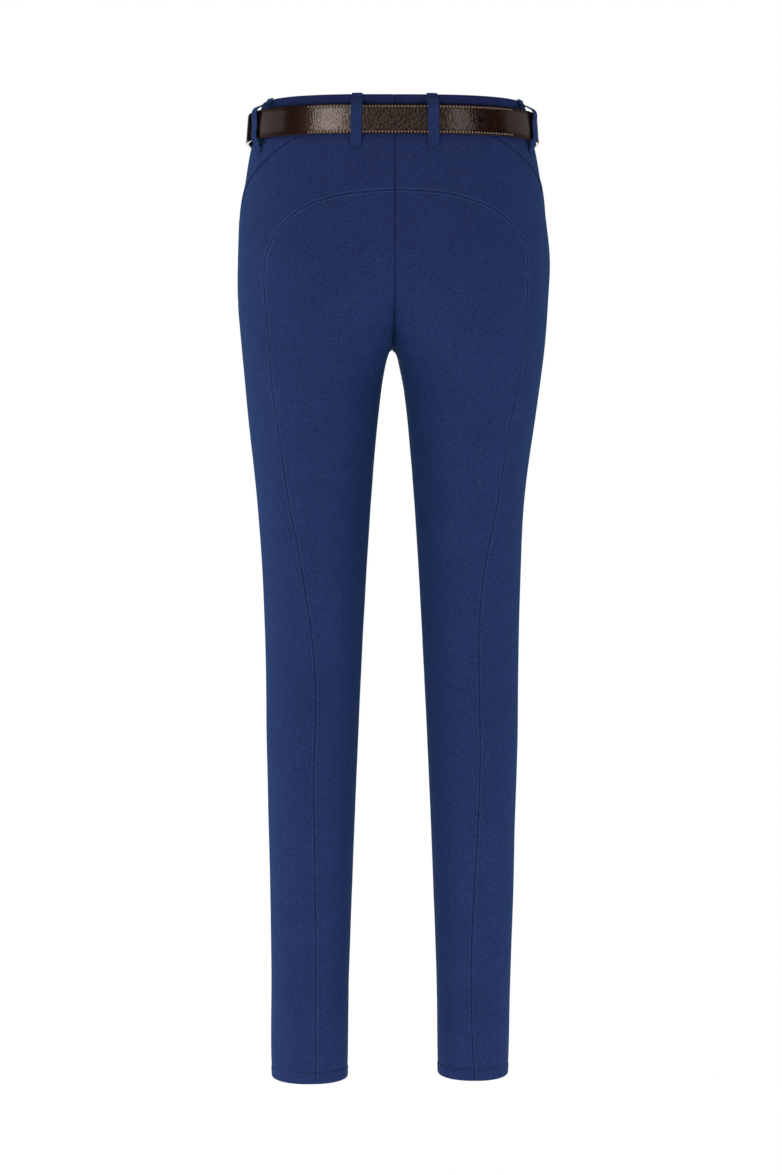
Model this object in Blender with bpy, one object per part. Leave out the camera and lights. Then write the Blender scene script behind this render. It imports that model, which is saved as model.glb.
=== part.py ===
"""Full-seat riding breeches with a leather belt, filled out and hollow as worn.

Metres, +Z up. The wearer faces -Y, so the seat is towards +Y and the wearer's left is +X.
The origin is the middle of the waist, level with the belt's centre line.

Each side of the garment is one smooth surface. A place on it is (s, z): z is the height, and s runs
round the section from -1 at the centre front or inseam, over 0 at the side line, to 1 at the centre
back or inseam. The cloth pieces are cut from that surface along their seams.
"""

from functools import lru_cache
import math

import bpy
import numpy as np

MM = 0.001

# Heights, from the belt's centre line.
WAIST_TOP = 0.027
WAIST_SEAM = -0.012
CROTCH = -0.229
HEM = {"left": -0.990, "right": -0.987}
FRONT_RISE_TURN = -0.120  # where the centre front seam starts to curve under
BACK_RISE_TURN = -0.095
CROTCH_ARCH = 0.0022  # radius of the arch between the legs
CROTCH_FADE = 0.045  # how far below the crotch the body's fullness runs out into the leg

# Cloth.
CLOTH = 0.0014
HEM_TURN = 0.012
HEM_WALL = 0.0026  # two layers
WAISTBAND_WALL = 0.0024
SEAM_GAP = 0.0003
SQUARENESS = 0.10  # how far a section fills out between its widest and deepest points
GROOVE_TIGHTNESS = 14  # how narrow the dip beside the crotch seam is
INNER_PULL = 8  # how close to the inner line a section starts to be drawn in to it
TURN_UNDER = 4  # how late a section turns under on its way down to the crotch
FOLD_FADE = 1 / 6  # share of a half-section over which folds fade out at its two ends

# The finished sections, in millimetres, from the waist top to below the hem.
# outer and inner: across from the centre line to the outer and inner leg line
# crown: the deepest point's place between them, 0 at the inner line and 1 at the outer one
# side: how far the side line lies behind the middle; front and back: depth from the side line
SECTION_COLUMNS = (
    "height", "outer_left", "inner_left", "outer_right", "inner_right", "crown", "side", "front", "back"
)
SECTIONS = (
    (40, 133, 0, 136, 0, 0.20, 0, 90, 92),
    (26, 137, 0, 139, 0, 0.20, 0, 92, 94),
    (0, 143, 0, 144, 0, 0.21, 0, 97, 99),
    (-18, 148, 0, 149, 0, 0.22, 0, 99, 102),
    (-52, 154, 0, 155, 0, 0.26, 0, 102, 108),
    (-94, 160, 0, 161, 0, 0.32, 0, 104, 115),
    (-136, 162, 0, 165, 0, 0.38, 1, 105, 119),
    (-178, 162, 0, 163, 0, 0.44, 3, 103, 117),
    (-230, 158, 5, 159, 4, 0.50, 6, 97, 108),
    (-262, 155, 12, 155, 10, 0.50, 6, 93, 102),
    (-304, 151, 19, 149, 17, 0.50, 6, 88, 94),
    (-388, 142, 28, 138, 27, 0.50, 5, 79, 79),
    (-472, 136, 31, 134, 33, 0.50, 4, 69, 66),
    (-556, 133, 34, 132, 37, 0.50, 4, 61, 58),
    (-640, 132, 38, 131, 40, 0.50, 7, 55, 57),
    (-724, 130, 41, 128, 42, 0.50, 10, 51, 56),
    (-808, 128, 44, 126, 44, 0.50, 11, 48, 52),
    (-892, 127, 46, 123, 46, 0.50, 11, 46, 48),
    (-972, 127, 47, 121, 47, 0.50, 11, 44, 46),
    (-1010, 125, 48, 119, 48, 0.50, 11, 44, 46),
)

# Where the front laps over the back: millimetres behind the side line, measured round the section.
SIDE_SEAM_COLUMNS = ("height", "left", "right")
SIDE_SEAM = (
    (-12, 110, 106),
    (-22, 95, 90),
    (-34, 77, 71),
    (-46, 58, 50),
    (-58, 38, 29),
    (-70, 19, 12),
    (-84, 2, -2),
    (-104, -8, -9),
    (-150, -12, -12),
    (-1010, -12, -12),
)

# The full seat's upper edge and leg seam: across from the centre, in millimetres, and height.
SEAT_ARC_COLUMNS = ("left", "right", "height_left", "height_right")
SEAT_ARC = (
    (0, 0, -73, -73),
    (30, 30, -75, -74),
    (58, 56, -79, -77),
    (80, 79, -85, -83),
    (97, 98, -93, -90),
    (110, 112, -103, -99),
    (120, 123, -114, -109),
    (127, 130, -126, -120),
    (132, 135, -139, -135),
    (134, 137, -158, -155),
    (133, 136, -182, -182),
)
LEG_SEAM_COLUMNS = ("height", "left", "right")
LEG_SEAM = (
    (-182, 133, 136),
    (-225, 129, 134),
    (-257, 127, 129),
    (-280, 125, 125),
    (-304, 121, 120),
    (-350, 115, 113),
    (-405, 106, 104),
    (-450, 97, 95),
    (-490, 91, 90),
    (-520, 86, 88),
    (-560, 82, 88),
    (-616, 81, 89),
    (-670, 83, 89),
    (-740, 82, 86),
    (-835, 81, 81),
    (-900, 81, 80),
    (-1010, 81, 85),
)
SEAT_TOP_RUNGS = (-73, -84, -95, -106, -117, -128, -139, -150, -161, -171.5, -182)
HIP_RUNGS = (-12, -22, -32, -42, -53, -64, -76, -89, -104, -122, -141, -161, -182)

# The largest folds, as soft troughs and ridges: place across from the centre, height, half-lengths
# along and across the fold, tilt from level in degrees, and height of the ridge, in millimetres.
FOLD_COLUMNS = ("side", "face", "across", "height", "length", "breadth", "tilt", "rise")
FOLDS = (
    ("left", "back", 62, -262, 55, 22, 28, -3.0),
    ("right", "back", -58, -268, 50, 22, -30, -3.0),
    ("left", "back", 50, -372, 60, 26, 62, -2.5),
    ("right", "back", -48, -398, 60, 26, -60, -2.5),
    ("left", "back", 84, -548, 55, 26, -8, -1.5),
    ("right", "back", -84, -556, 55, 26, 10, -1.5),
    ("left", "back", 86, -600, 50, 26, 12, 1.5),
    ("right", "back", -70, -622, 55, 26, -35, 1.5),
    ("left", "front", 70, -236, 55, 22, -30, -3.0),
    ("right", "front", -70, -240, 55, 22, 30, -3.0),
    ("left", "front", 84, -560, 50, 24, 8, 2.0),
    ("right", "front", -84, -566, 50, 24, -6, 2.0),
    ("left", "back", 84, -880, 60, 24, 14, -2.0),
    ("right", "back", -84, -900, 60, 24, -14, -2.0),
)

# Belt, loops and buckle. Distances round the belt start at the buckle's bar.
BELT_HEIGHT = 0.030
BELT_WALL = 0.0034
BELT_HALF_WIDTH = 0.1514  # to the middle of the leather
BELT_FRONT = 0.1046
BELT_BACK = 0.1056
BELT_CROWN = 0.21
BELT_LEAN = 0.0022  # at the sides, the lower edge stands out this much further than the upper one
BUCKLE_BAR_ACROSS = 0.020
BUCKLE_LENGTH = 0.036
BUCKLE_HALF_HEIGHT = 0.0176
BUCKLE_ROD = 0.0019
BUCKLE_CORNER = {"bar": 0.0022, "far": 0.0060}
BUCKLE_OFF_STRAP = 0.0009  # between the frame's far side and the strap
BAR_OFFSET = -0.0015
EYE_WALL = 0.0016
EYE_SLOT = 0.0020  # half the height of the gap for the prong
STRAP_START = 0.003
FREE_END_LENGTH = 0.105
FREE_END_TIP = 0.014
TIP_BLUNTNESS = 0.3
FREE_END_AT_BAR = 0.0052
FREE_END_OFFSET = 0.0038
CLIMB = (-0.042, 0.034)  # where the free end starts to rise over the bar, and over what length
DESCENT = (0.008, 0.016)  # where it starts to come down behind it, and over what length
HOLE_HALF = 0.0019
PRONG_ROD = 0.0012
PRONG_PAST_FRAME = 0.0030
# The prong beyond its turn round the bar: how far along, as a share of the buckle's length, and how
# far, in millimetres, it lies off the strap's face.
PRONG_RISE = ((0.022, -0.6), (0.083, 0.2))
KEEPER_FROM_BAR = 0.030
KEEPER_WIDTH = 0.011
KEEPER_WALL = 0.0015

LOOP_WIDTH = 0.0115
LOOP_WALL = 0.0014
LOOP_OFF_BELT = 0.0008
LOOP_OFF_CLOTH = 0.0006
LOOP_SPLAY = 0.0012  # how much further from the centre its foot is than its top
# A loop's course, in millimetres: its height, the height at which the cloth behind it is measured,
# its share of the way from that cloth, 0, to over the belt, 1, and how much further out it is.
LOOP_COURSE_COLUMNS = ("height", "cloth_at", "share", "more")
LOOP_COURSE = (
    (27.85, 27, 0.0, -2.2),
    (27.85, 27, 0.0, -0.6),
    (26.9, 27, 0.0, 0.4),
    (24.0, 27, 0.0, 0.8),
    (20.5, 27, 0.5, 0.0),
    (16.2, 27, 1.0, -0.4),
    (0.0, 27, 1.0, 0.4),
    (-15.4, -29, 1.0, 0.4),
    (-18.0, -29, 1.0, -1.2),
    (-20.8, -29, 0.3, 0.0),
    (-24.0, -24, 0.0, 0.0),
    (-29.0, -29, 0.0, 0.0),
)
# Millimetres across from the centre, and the layers of belt that the loop holds.
LOOPS = (
    ("loop_back_left", "left", "back", 39, 1),
    ("loop_back_right", "right", "back", 39, 1),
    ("loop_side_left", "left", "back", 133, 1),
    ("loop_side_right", "right", "back", 136, 1),
    ("loop_front_left", "left", "front", 78, 2),
    ("loop_front_right", "right", "front", 78, 1),
)

FLY_TOP = -0.0165
FLY_FOOT = -0.150
FLY_CURVE_START = -0.112
FLY_WIDTH = 0.036
FLY_LAP = 0.006  # past the centre front, over the right side
FLY_WALL = 0.0012
ZIP_FOOT = -0.126
ZIP_HALF_WIDTH = 0.013
ZIP_WALL = 0.0010


# Reading the tables.

def table(columns, rows):
    """Each column's values as an array, with the lowest height first where there is one."""
    arrays = {name: np.array([row[i] for row in rows]) for i, name in enumerate(columns)}
    if "height" in arrays:
        order = np.argsort(arrays["height"])
        arrays = {name: values[order] for name, values in arrays.items()}
    return arrays


SECTION_TABLE = table(SECTION_COLUMNS, SECTIONS)
SIDE_SEAM_TABLE = table(SIDE_SEAM_COLUMNS, SIDE_SEAM)
LEG_SEAM_TABLE = table(LEG_SEAM_COLUMNS, LEG_SEAM)


def smooth(heights, values, z):
    """A smooth curve through the values, at height z in millimetres."""
    slopes = np.gradient(values.astype(float), heights)
    i = int(np.clip(np.searchsorted(heights, z) - 1, 0, len(heights) - 2))
    span = heights[i + 1] - heights[i]
    t = (z - heights[i]) / span
    return (
        values[i] * (2 * t**3 - 3 * t**2 + 1)
        + values[i + 1] * (3 * t**2 - 2 * t**3)
        + span * (slopes[i] * (t**3 - 2 * t**2 + t) + slopes[i + 1] * (t**3 - t**2))
    )


def size(name, z):
    """A section size, in metres, at height z in metres."""
    value = smooth(SECTION_TABLE["height"], SECTION_TABLE[name], z / MM)
    return value if name == "crown" else value * MM


def inner_line(side, z):
    """The inner leg line, a round arch at the crotch that runs out into the leg's own line."""
    if z >= CROTCH:
        return 0.0
    arch = math.sqrt((CROTCH - z) * 2 * CROTCH_ARCH)
    return min(arch, max(0.0, size("inner_" + side, z)))


def crown_line(side, z):
    """How far across the section is deepest."""
    outer = size("outer_" + side, z)
    leg_line = max(0.0, size("inner_" + side, z))
    return leg_line + size("crown", z) * (outer - leg_line)


def ease(t):
    t = min(1.0, max(0.0, t))
    return t * t * (3 - 2 * t)


# The garment's surface.

QUARTER_STEPS = 65
HALF_STEPS = 129


def crotch_curve(face, z, foot):
    """How far down the crotch's curve a height is: 0 where it turns under, 1 at its foot."""
    turn = BACK_RISE_TURN if face == "back" else FRONT_RISE_TURN
    return min(1.0, max(0.0, (turn - z) / (turn - foot)))


def quarter_points(outer, inner, leg_line, crown, depth, seam_down, body_down):
    """Points from the side line round to the inner line, as across and depth.

    The leg's own oval runs to leg_line. Its last stretch is drawn to inner, which is where the
    left and right sides meet. The inner half stays filled out at the centre seam while seam_down
    is under 1, and beside it while body_down is.
    """
    angle = np.linspace(0, math.pi, QUARTER_STEPS)
    turn = np.cos(angle) * (1 + SQUARENESS * np.sin(angle) ** 2)
    oval = np.sin(angle) * (1 + SQUARENESS * np.cos(angle) ** 2)
    outside = angle < math.pi / 2
    part = np.clip(-turn, 0, 1)
    across = crown + np.where(outside, outer - crown, crown - leg_line) * turn
    across = across + (inner - leg_line) * part**INNER_PULL
    beside = body_down**TURN_UNDER * (TURN_UNDER + 1 - TURN_UNDER * body_down)
    share = beside + (seam_down**TURN_UNDER - beside) * part**GROOVE_TIGHTNESS
    inner_depth = np.sqrt(np.clip(1 - share * (1 - oval**2), 0, 1))
    return across, depth * np.where(outside, oval, inner_depth)


def lengths_along(across, depth):
    return np.concatenate([[0.0], np.cumsum(np.hypot(np.diff(across), np.diff(depth)))])


@lru_cache(maxsize=None)
def section(side, face, z):
    """The half-section at height z, from the side line inwards: across, depth, length and s.

    s grows evenly with the length, except that its last stretch takes up what the section gains
    or loses at the crotch, so that a line of constant s runs smoothly down past it.
    """
    outer, inner, crown = size("outer_" + side, z), inner_line(side, z), crown_line(side, z)
    leg_line = max(0.0, size("inner_" + side, z))
    seam_down = crotch_curve(face, z, CROTCH)
    body_down = crotch_curve(face, z, CROTCH - CROTCH_FADE)
    across, depth = quarter_points(outer, inner, leg_line, crown, size(face, z), seam_down, body_down)
    length = lengths_along(across, depth)
    leg_oval = quarter_points(outer, leg_line, leg_line, crown, size(face, z), body_down, body_down)
    steady = lengths_along(*leg_oval)[-1]
    even = np.linspace(0, 1, HALF_STEPS)
    last_stretch = even**6
    s = np.interp(length, even * steady + last_stretch * (length[-1] - steady), even)
    return across, depth, length, s


def fold_depth(side, face, across, z):
    """How far the folds move the cloth out at a place."""
    total = 0.0
    for row in FOLDS:
        fold = dict(zip(FOLD_COLUMNS, row))
        if fold["side"] != side or fold["face"] != face:
            continue
        dx = across / MM - abs(fold["across"])
        dz = z / MM - fold["height"]
        tilt = math.radians(fold["tilt"])
        along = (dx * math.cos(tilt) + dz * math.sin(tilt)) / fold["length"]
        aside = (dz * math.cos(tilt) - dx * math.sin(tilt)) / fold["breadth"]
        total += fold["rise"] * MM * math.exp(-(along**2) - aside**2)
    return total


def place(side, s, z):
    """The finished surface at (s, z)."""
    face = "back" if s >= 0 else "front"
    across, depth, _, at = section(side, face, round(z, 7))
    x = np.interp(abs(s), at, across)
    # Folds fade out at the side and the inner line, where the two faces meet.
    fade = ease(min(abs(s), 1 - abs(s)) / FOLD_FADE)
    y = np.interp(abs(s), at, depth) + fold_depth(side, face, x, z) * fade
    y = y if face == "back" else -y
    return np.array([x if side == "left" else -x, size("side", z) + y, z])


def outward(side, s, z):
    """The surface's outward direction at (s, z)."""
    if abs(s) == 1.0 and z <= CROTCH:
        both = face_outward(side, 1.0, z) + face_outward(side, -1.0, z)
        return both / np.linalg.norm(both)
    return face_outward(side, s, z)


def face_outward(side, s, z):
    """The outward direction, from the surface on one side of the place only at the inseam."""
    low, high = max(-1.0, s - 0.004), min(1.0, s + 0.004)
    step = 0.6 * MM
    round_it = place(side, high, z) - place(side, low, z)
    up = place(side, s, z + step) - place(side, s, z - step)
    normal = np.cross(round_it, up)
    normal /= np.linalg.norm(normal)
    crown = crown_line(side, z)
    middle = np.array([crown if side == "left" else -crown, size("side", z), z])
    return normal if np.dot(normal, place(side, s, z) - middle) > 0 else -normal


def round_at(side, face, across, z):
    """The place s where the surface lies this far across from the centre line."""
    points, _, _, at = section(side, face, round(z, 7))
    s = np.interp(-across, -points, at)
    return s if face == "back" else -s


def behind_side(side, distance, z):
    """The place s at this distance round the section, behind the side line."""
    _, _, length, at = section(side, "back" if distance >= 0 else "front", round(z, 7))
    return math.copysign(np.interp(abs(distance), length, at), distance)


def seam_height(side, z):
    return smooth(SIDE_SEAM_TABLE["height"], SIDE_SEAM_TABLE[side], z / MM) * MM


def side_seam(side, z):
    return behind_side(side, seam_height(side, z), z)


def leg_seam(side, z):
    across = smooth(LEG_SEAM_TABLE["height"], LEG_SEAM_TABLE[side], z / MM) * MM
    return round_at(side, "back", across, z)


# Making meshes.

def principled(name, colour, roughness, metallic=0.0):
    material = bpy.data.materials.new(name)
    material.use_nodes = True
    shader = material.node_tree.nodes["Principled BSDF"]
    shader.inputs["Base Color"].default_value = (*colour, 1.0)
    shader.inputs["Roughness"].default_value = roughness
    shader.inputs["Metallic"].default_value = metallic
    material.diffuse_color = (*colour, 1.0)
    return material


def new_object(name, points, faces, material, smooth_shading=True):
    mesh = bpy.data.meshes.new(name)
    mesh.from_pydata([tuple(point) for point in points], [], faces)
    mesh.validate()
    if smooth_shading:
        mesh.shade_smooth()
        mesh.set_sharp_from_angle(angle=math.radians(40))
    mesh.materials.append(material)
    piece = bpy.data.objects.new(name, mesh)
    bpy.context.collection.objects.link(piece)
    return piece


def split(a, b, c, d, from_a):
    """A four-sided face as two triangles, cut from a to c or from b to d."""
    return [[a, b, c], [a, c, d]] if from_a else [[a, b, d], [b, c, d]]


def wall_faces(rows, columns, from_first=None):
    """Faces of a closed wall between an outer and an inner grid of points.

    from_first says, for each square of the grid, whether it is cut from its first corner.
    """
    def outer(i, j):
        return i * columns + j

    def inner(i, j):
        return rows * columns + outer(i, j)

    faces = []
    for i in range(rows - 1):
        for j in range(columns - 1):
            ring = ((i, j), (i, j + 1), (i + 1, j + 1), (i + 1, j))
            cut = True if from_first is None else from_first[i][j]
            faces += split(*[outer(*corner) for corner in ring], cut)
            faces += [face[::-1] for face in split(*[inner(*corner) for corner in ring], cut)]
    edge = [(0, j) for j in range(columns)] + [(i, columns - 1) for i in range(1, rows)]
    edge += [(rows - 1, j) for j in range(columns - 2, -1, -1)] + [(i, 0) for i in range(rows - 2, 0, -1)]
    for a, b in zip(edge, edge[1:] + edge[:1]):
        faces.append([outer(*b), outer(*a), inner(*a), inner(*b)])
    return faces


def joined(points, faces):
    """Points that coincide made one, and the faces that they collapse dropped."""
    index, kept, place_of = {}, [], []
    for point in points:
        key = tuple(round(value / 1e-7) for value in point)
        if key not in index:
            index[key] = len(kept)
            kept.append(point)
        place_of.append(index[key])
    tidy = []
    for face in faces:
        ring = []
        for corner in face:
            if place_of[corner] not in ring:
                ring.append(place_of[corner])
        if len(ring) > 2:
            tidy.append(ring)
    return kept, tidy


def facing_out(points, faces):
    """The faces, turned round where the closed shape would be inside out."""
    volume = 0.0
    for face in faces:
        for b, c in zip(face[1:-1], face[2:]):
            volume += np.dot(points[face[0]], np.cross(points[b], points[c]))
    return faces if volume > 0 else [face[::-1] for face in faces]


def trimmed(grid, normals, half_gap):
    """The grid with its edges drawn in, along the surface, by half a seam gap."""
    rows, columns = len(grid), len(grid[0])
    result = grid.copy()

    def inwards(here, along, inside, normal):
        across = np.cross(normal, along)
        across /= np.linalg.norm(across)
        return across if np.dot(across, inside - here) > 0 else -across

    for i in range(rows):
        for j, k in ((0, 1), (columns - 1, columns - 2)):
            along = grid[min(i + 1, rows - 1), j] - grid[max(i - 1, 0), j]
            inside = grid[i, k] if np.linalg.norm(grid[i, k] - grid[i, j]) > 1e-6 else grid[i + 1, k]
            result[i, j] += half_gap * inwards(grid[i, j], along, inside, normals[i, j])
    for i, k in ((0, 1), (rows - 1, rows - 2)):
        if np.linalg.norm(grid[i, -1] - grid[i, 0]) < 1e-6:
            to_middle = grid[k, columns // 2] - grid[i, 0]
            result[i, :] = grid[i, 0] + 2 * half_gap * to_middle / np.linalg.norm(to_middle)
            normals[i, :] = normals[i, 0]
            continue
        for j in range(columns):
            along = grid[i, min(j + 1, columns - 1)] - grid[i, max(j - 1, 0)]
            result[i, j] += half_gap * inwards(grid[i, j], along, grid[k, j], normals[i, j])
    return result


def closest_cuts(side, places, grid):
    """Which way each square of the grid is cut in two to lie closest to the surface."""
    cuts = []
    for i in range(len(places) - 1):
        cuts.append([])
        for j in range(len(places[i]) - 1):
            corners = (i, j), (i, j + 1), (i + 1, j + 1), (i + 1, j)
            middle = place(side, *np.mean([places[k][m] for k, m in corners], axis=0))
            a, b, c, d = (grid[corner] for corner in corners)
            off_first, off_second = np.linalg.norm((a + c) / 2 - middle), np.linalg.norm((b + d) / 2 - middle)
            cuts[-1].append(bool(off_first <= off_second))
    return cuts


def cloth_piece(name, side, rungs, columns, wall, material):
    """A cloth piece between pairs of places, one pair to a rung, with its wall inwards."""
    rows = len(rungs)
    grid = np.zeros((rows, columns, 3))
    normals = np.zeros((rows, columns, 3))
    places = [np.linspace(start, end, columns) for start, end in rungs]
    for i, rung in enumerate(places):
        for j, (s, z) in enumerate(rung):
            grid[i, j] = place(side, s, z)
            normals[i, j] = outward(side, s, z)
    outer = trimmed(grid, normals, SEAM_GAP / 2)
    walls = np.array([[wall(grid[i, j, 2]) for j in range(columns)] for i in range(rows)])
    inner = outer - normals * walls[:, :, None]
    for i, ((s_start, z), (s_end, _)) in enumerate(rungs):
        for j, s in ((0, s_start), (columns - 1, s_end)):
            if abs(s) == 1.0 and z <= CROTCH:
                # Front and seat stay on their own sides of the inseam.
                for skin in (outer, inner):
                    own_side = max(s * (skin[i, j, 1] - grid[i, j, 1]), SEAM_GAP / 2)
                    skin[i, j, 1] = grid[i, j, 1] + s * own_side
    points = np.concatenate([outer.reshape(-1, 3), inner.reshape(-1, 3)])
    # The left and right pieces stay apart at the centre line.
    sign = 1 if side == "left" else -1
    points[:, 0] = sign * np.maximum(sign * points[:, 0], SEAM_GAP / 2)
    points, faces = joined(list(points), wall_faces(rows, columns, closest_cuts(side, places, grid)))
    return new_object(name, points, facing_out(points, faces), material)


def leg_heights(side):
    """Heights of the rungs below the full seat's arc, close together at the crotch and the hem."""
    seat_side = SEAT_TOP_RUNGS[-1] * MM
    above = [CROTCH + (seat_side - CROTCH) * (1 - math.sin(a)) for a in np.radians((22, 42, 60, 90))]
    below = [CROTCH - drop * MM for drop in (3, 9, 19, 35, 55, 78)]
    turn = HEM[side] + HEM_TURN
    even = list(np.linspace(below[-1], turn + 0.0005, 25)[1:])
    return above + below + even + [turn, HEM[side]]


def body_wall(side):
    turn = HEM[side] + HEM_TURN
    return lambda z: HEM_WALL if z < turn + 0.0001 else CLOTH


# The pieces.

def make_front(side, material):
    heights = [z * MM for z in HIP_RUNGS] + leg_heights(side)
    rungs = [((-1.0, z), (side_seam(side, z), z)) for z in heights]
    return cloth_piece("front_" + side, side, rungs, 13, body_wall(side), material)


def seat_edge(side):
    """Places along the full seat's arc, from the centre back outwards."""
    arc = table(SEAT_ARC_COLUMNS, SEAT_ARC)
    places = []
    for across, z in zip(arc[side] * MM, arc["height_" + side] * MM):
        places.append((round_at(side, "back", across, z), z))
    return places


def make_back(side, material):
    """The upper back, which runs on down the outer leg."""
    hip = [(side_seam(side, z * MM), z * MM) for z in HIP_RUNGS]
    inner = [(1.0, z) for z in (WAIST_SEAM, (WAIST_SEAM + SEAT_TOP_RUNGS[0] * MM) / 2)] + seat_edge(side)
    rungs = list(zip(hip, inner))
    rungs += [((side_seam(side, z), z), (leg_seam(side, z), z)) for z in leg_heights(side)]
    return cloth_piece("back_" + side, side, rungs, 9, body_wall(side), material)


def make_seat(side, material):
    """The full seat, which runs on down the inner leg."""
    centre = [(1.0, z * MM) for z in SEAT_TOP_RUNGS]
    rungs = list(zip(seat_edge(side), centre))
    rungs += [((leg_seam(side, z), z), (1.0, z)) for z in leg_heights(side)]
    return cloth_piece("seat_" + side, side, rungs, 9, body_wall(side), material)


def make_waistband(side, material):
    heights = (WAIST_SEAM, 0.0, WAIST_TOP)
    rungs = [((-1.0, z), (1.0, z)) for z in heights]
    return cloth_piece("waistband_" + side, side, rungs, 33, lambda z: WAISTBAND_WALL, material)


def front_place(x, z):
    """The front surface and its outward direction, across from the centre."""
    side = "left" if x >= 0 else "right"
    s = round_at(side, "front", abs(x), z)
    return place(side, s, z), outward(side, s, z)


def lying_piece(name, outline, offsets, material):
    """A flat piece on the front: rows of (height, first across, last across), between two offsets."""
    columns = 7
    layers = []
    for offset in offsets:
        for z, first, last in outline:
            for x in np.linspace(first, last, columns):
                point, normal = front_place(x, z)
                layers.append(point + normal * offset)
    points, faces = joined(layers, wall_faces(len(outline), columns))
    return new_object(name, points, facing_out(points, faces), material)


def make_fly(material):
    """The fly's outer lap, straight above and curved in to the centre below."""
    outline = [(z, -FLY_LAP, FLY_WIDTH) for z in np.linspace(FLY_TOP, FLY_CURVE_START, 5)]
    for angle in np.radians((20, 40, 58, 74, 88)):
        z = FLY_CURVE_START + (FLY_FOOT - FLY_CURVE_START) * math.sin(angle)
        outline.append((z, -FLY_LAP, -FLY_LAP + (FLY_WIDTH + FLY_LAP) * math.cos(angle)))
    return lying_piece("fly_flap", outline, (SEAM_GAP + FLY_WALL, SEAM_GAP), material)


def make_zip(material):
    """The closed zip's tape, inside the fly."""
    outline = [(z, -ZIP_HALF_WIDTH, ZIP_HALF_WIDTH) for z in np.linspace(FLY_TOP, ZIP_FOOT, 7)]
    depth = CLOTH + 3 * SEAM_GAP
    return lying_piece("zip_tape", outline, (-depth, -depth - ZIP_WALL), material)


# The belt.

def belt_ring():
    """The belt's closed oval, from the buckle's bar round the left side, as points and distances."""
    def half(depth):
        return quarter_points(BELT_HALF_WIDTH, 0.0, 0.0, BELT_CROWN * BELT_HALF_WIDTH, depth, 0.0, 0.0)

    front_x, front_y = half(BELT_FRONT)
    back_x, back_y = half(BELT_BACK)
    x = np.concatenate([front_x[::-1], back_x[1:], -back_x[::-1][1:], -front_x[1:-1]])
    y = np.concatenate([-front_y[::-1], back_y[1:], back_y[::-1][1:], -front_y[1:-1]])
    points = np.column_stack([x, y])
    start = np.argmin(np.abs(x - BUCKLE_BAR_ACROSS) + 10 * (y > 0))
    points = np.roll(points, -start, axis=0)
    points = np.vstack([points, points[:1]])
    lengths = np.concatenate([[0.0], np.cumsum(np.hypot(*np.diff(points, axis=0).T))])
    return points, lengths


BELT_POINTS, BELT_LENGTHS = belt_ring()
BELT_ROUND = BELT_LENGTHS[-1]


def belt_place(distance, offset, z):
    """A point of the belt at a distance round from the bar, moved out by offset."""
    at = distance % BELT_ROUND

    def on_ring(d):
        d %= BELT_ROUND
        return np.array([np.interp(d, BELT_LENGTHS, BELT_POINTS[:, axis]) for axis in (0, 1)])

    ahead = on_ring(at + 0.004) - on_ring(at - 0.004)
    ahead /= np.linalg.norm(ahead)
    out = np.array([ahead[1], -ahead[0]])
    lean = BELT_LEAN * (on_ring(at)[0] / BELT_HALF_WIDTH) ** 2
    moved = on_ring(at) + out * (offset - lean * z / BELT_HEIGHT)
    return np.array([moved[0], moved[1], z])


def belt_offset(distance):
    """How far the strap stands off the ring: out over the bar, then flat on the first layer."""
    past = distance - BELT_ROUND
    over_bar = FREE_END_AT_BAR * ease((past - CLIMB[0]) / CLIMB[1])
    return over_bar - (FREE_END_AT_BAR - FREE_END_OFFSET) * ease((past - DESCENT[0]) / DESCENT[1])


def make_strap(material):
    climb, flat = BELT_ROUND + CLIMB[0], BELT_ROUND + DESCENT[0] + 1.5 * DESCENT[1]
    tip_start = BELT_ROUND + FREE_END_LENGTH - FREE_END_TIP
    stations = [(distance, 1.0) for distance in np.linspace(STRAP_START, climb, 77)]
    stations += [(distance, 1.0) for distance in np.linspace(climb, flat, 20)[1:]]
    stations += [(distance, 1.0) for distance in np.linspace(flat, tip_start, 8)[1:]]
    for angle in np.radians((25, 50, 72)):
        stations.append((tip_start + FREE_END_TIP * math.sin(angle), max(math.cos(angle), TIP_BLUNTNESS)))
    points, faces = [], []
    for distance, share in stations:
        half = BELT_HEIGHT / 2 * share
        offset = belt_offset(distance)
        for out, z in ((1, -half), (1, half), (-1, half), (-1, -half)):
            points.append(belt_place(distance, offset + out * BELT_WALL / 2, z))
    for i in range(len(stations) - 1):
        for k in range(4):
            a, b = 4 * i + k, 4 * i + (k + 1) % 4
            faces.append([a, b, b + 4, a + 4])
    last = 4 * (len(stations) - 1)
    faces += [[3, 2, 1, 0], [last, last + 1, last + 2, last + 3]]
    strap = new_object("belt_strap", points, facing_out(points, faces), material)
    add_eye(strap)
    punch(strap)
    return strap


def upright_cylinder(name, distance, offset, radius, height, sides=20):
    """A cylinder along Z at a place on the belt."""
    centre = belt_place(distance, offset, 0.0)
    points, faces = [], []
    for z in (-height / 2, height / 2):
        for k in range(sides):
            angle = 2 * math.pi * (k + 0.5) / sides
            points.append(centre + np.array([radius * math.cos(angle), radius * math.sin(angle), z]))
    for k in range(sides):
        n = (k + 1) % sides
        faces.append([k, n, sides + n, sides + k])
    faces += [list(range(sides))[::-1], list(range(sides, 2 * sides))]
    return new_object(name, points, facing_out(points, faces), STEEL, smooth_shading=False)


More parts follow.
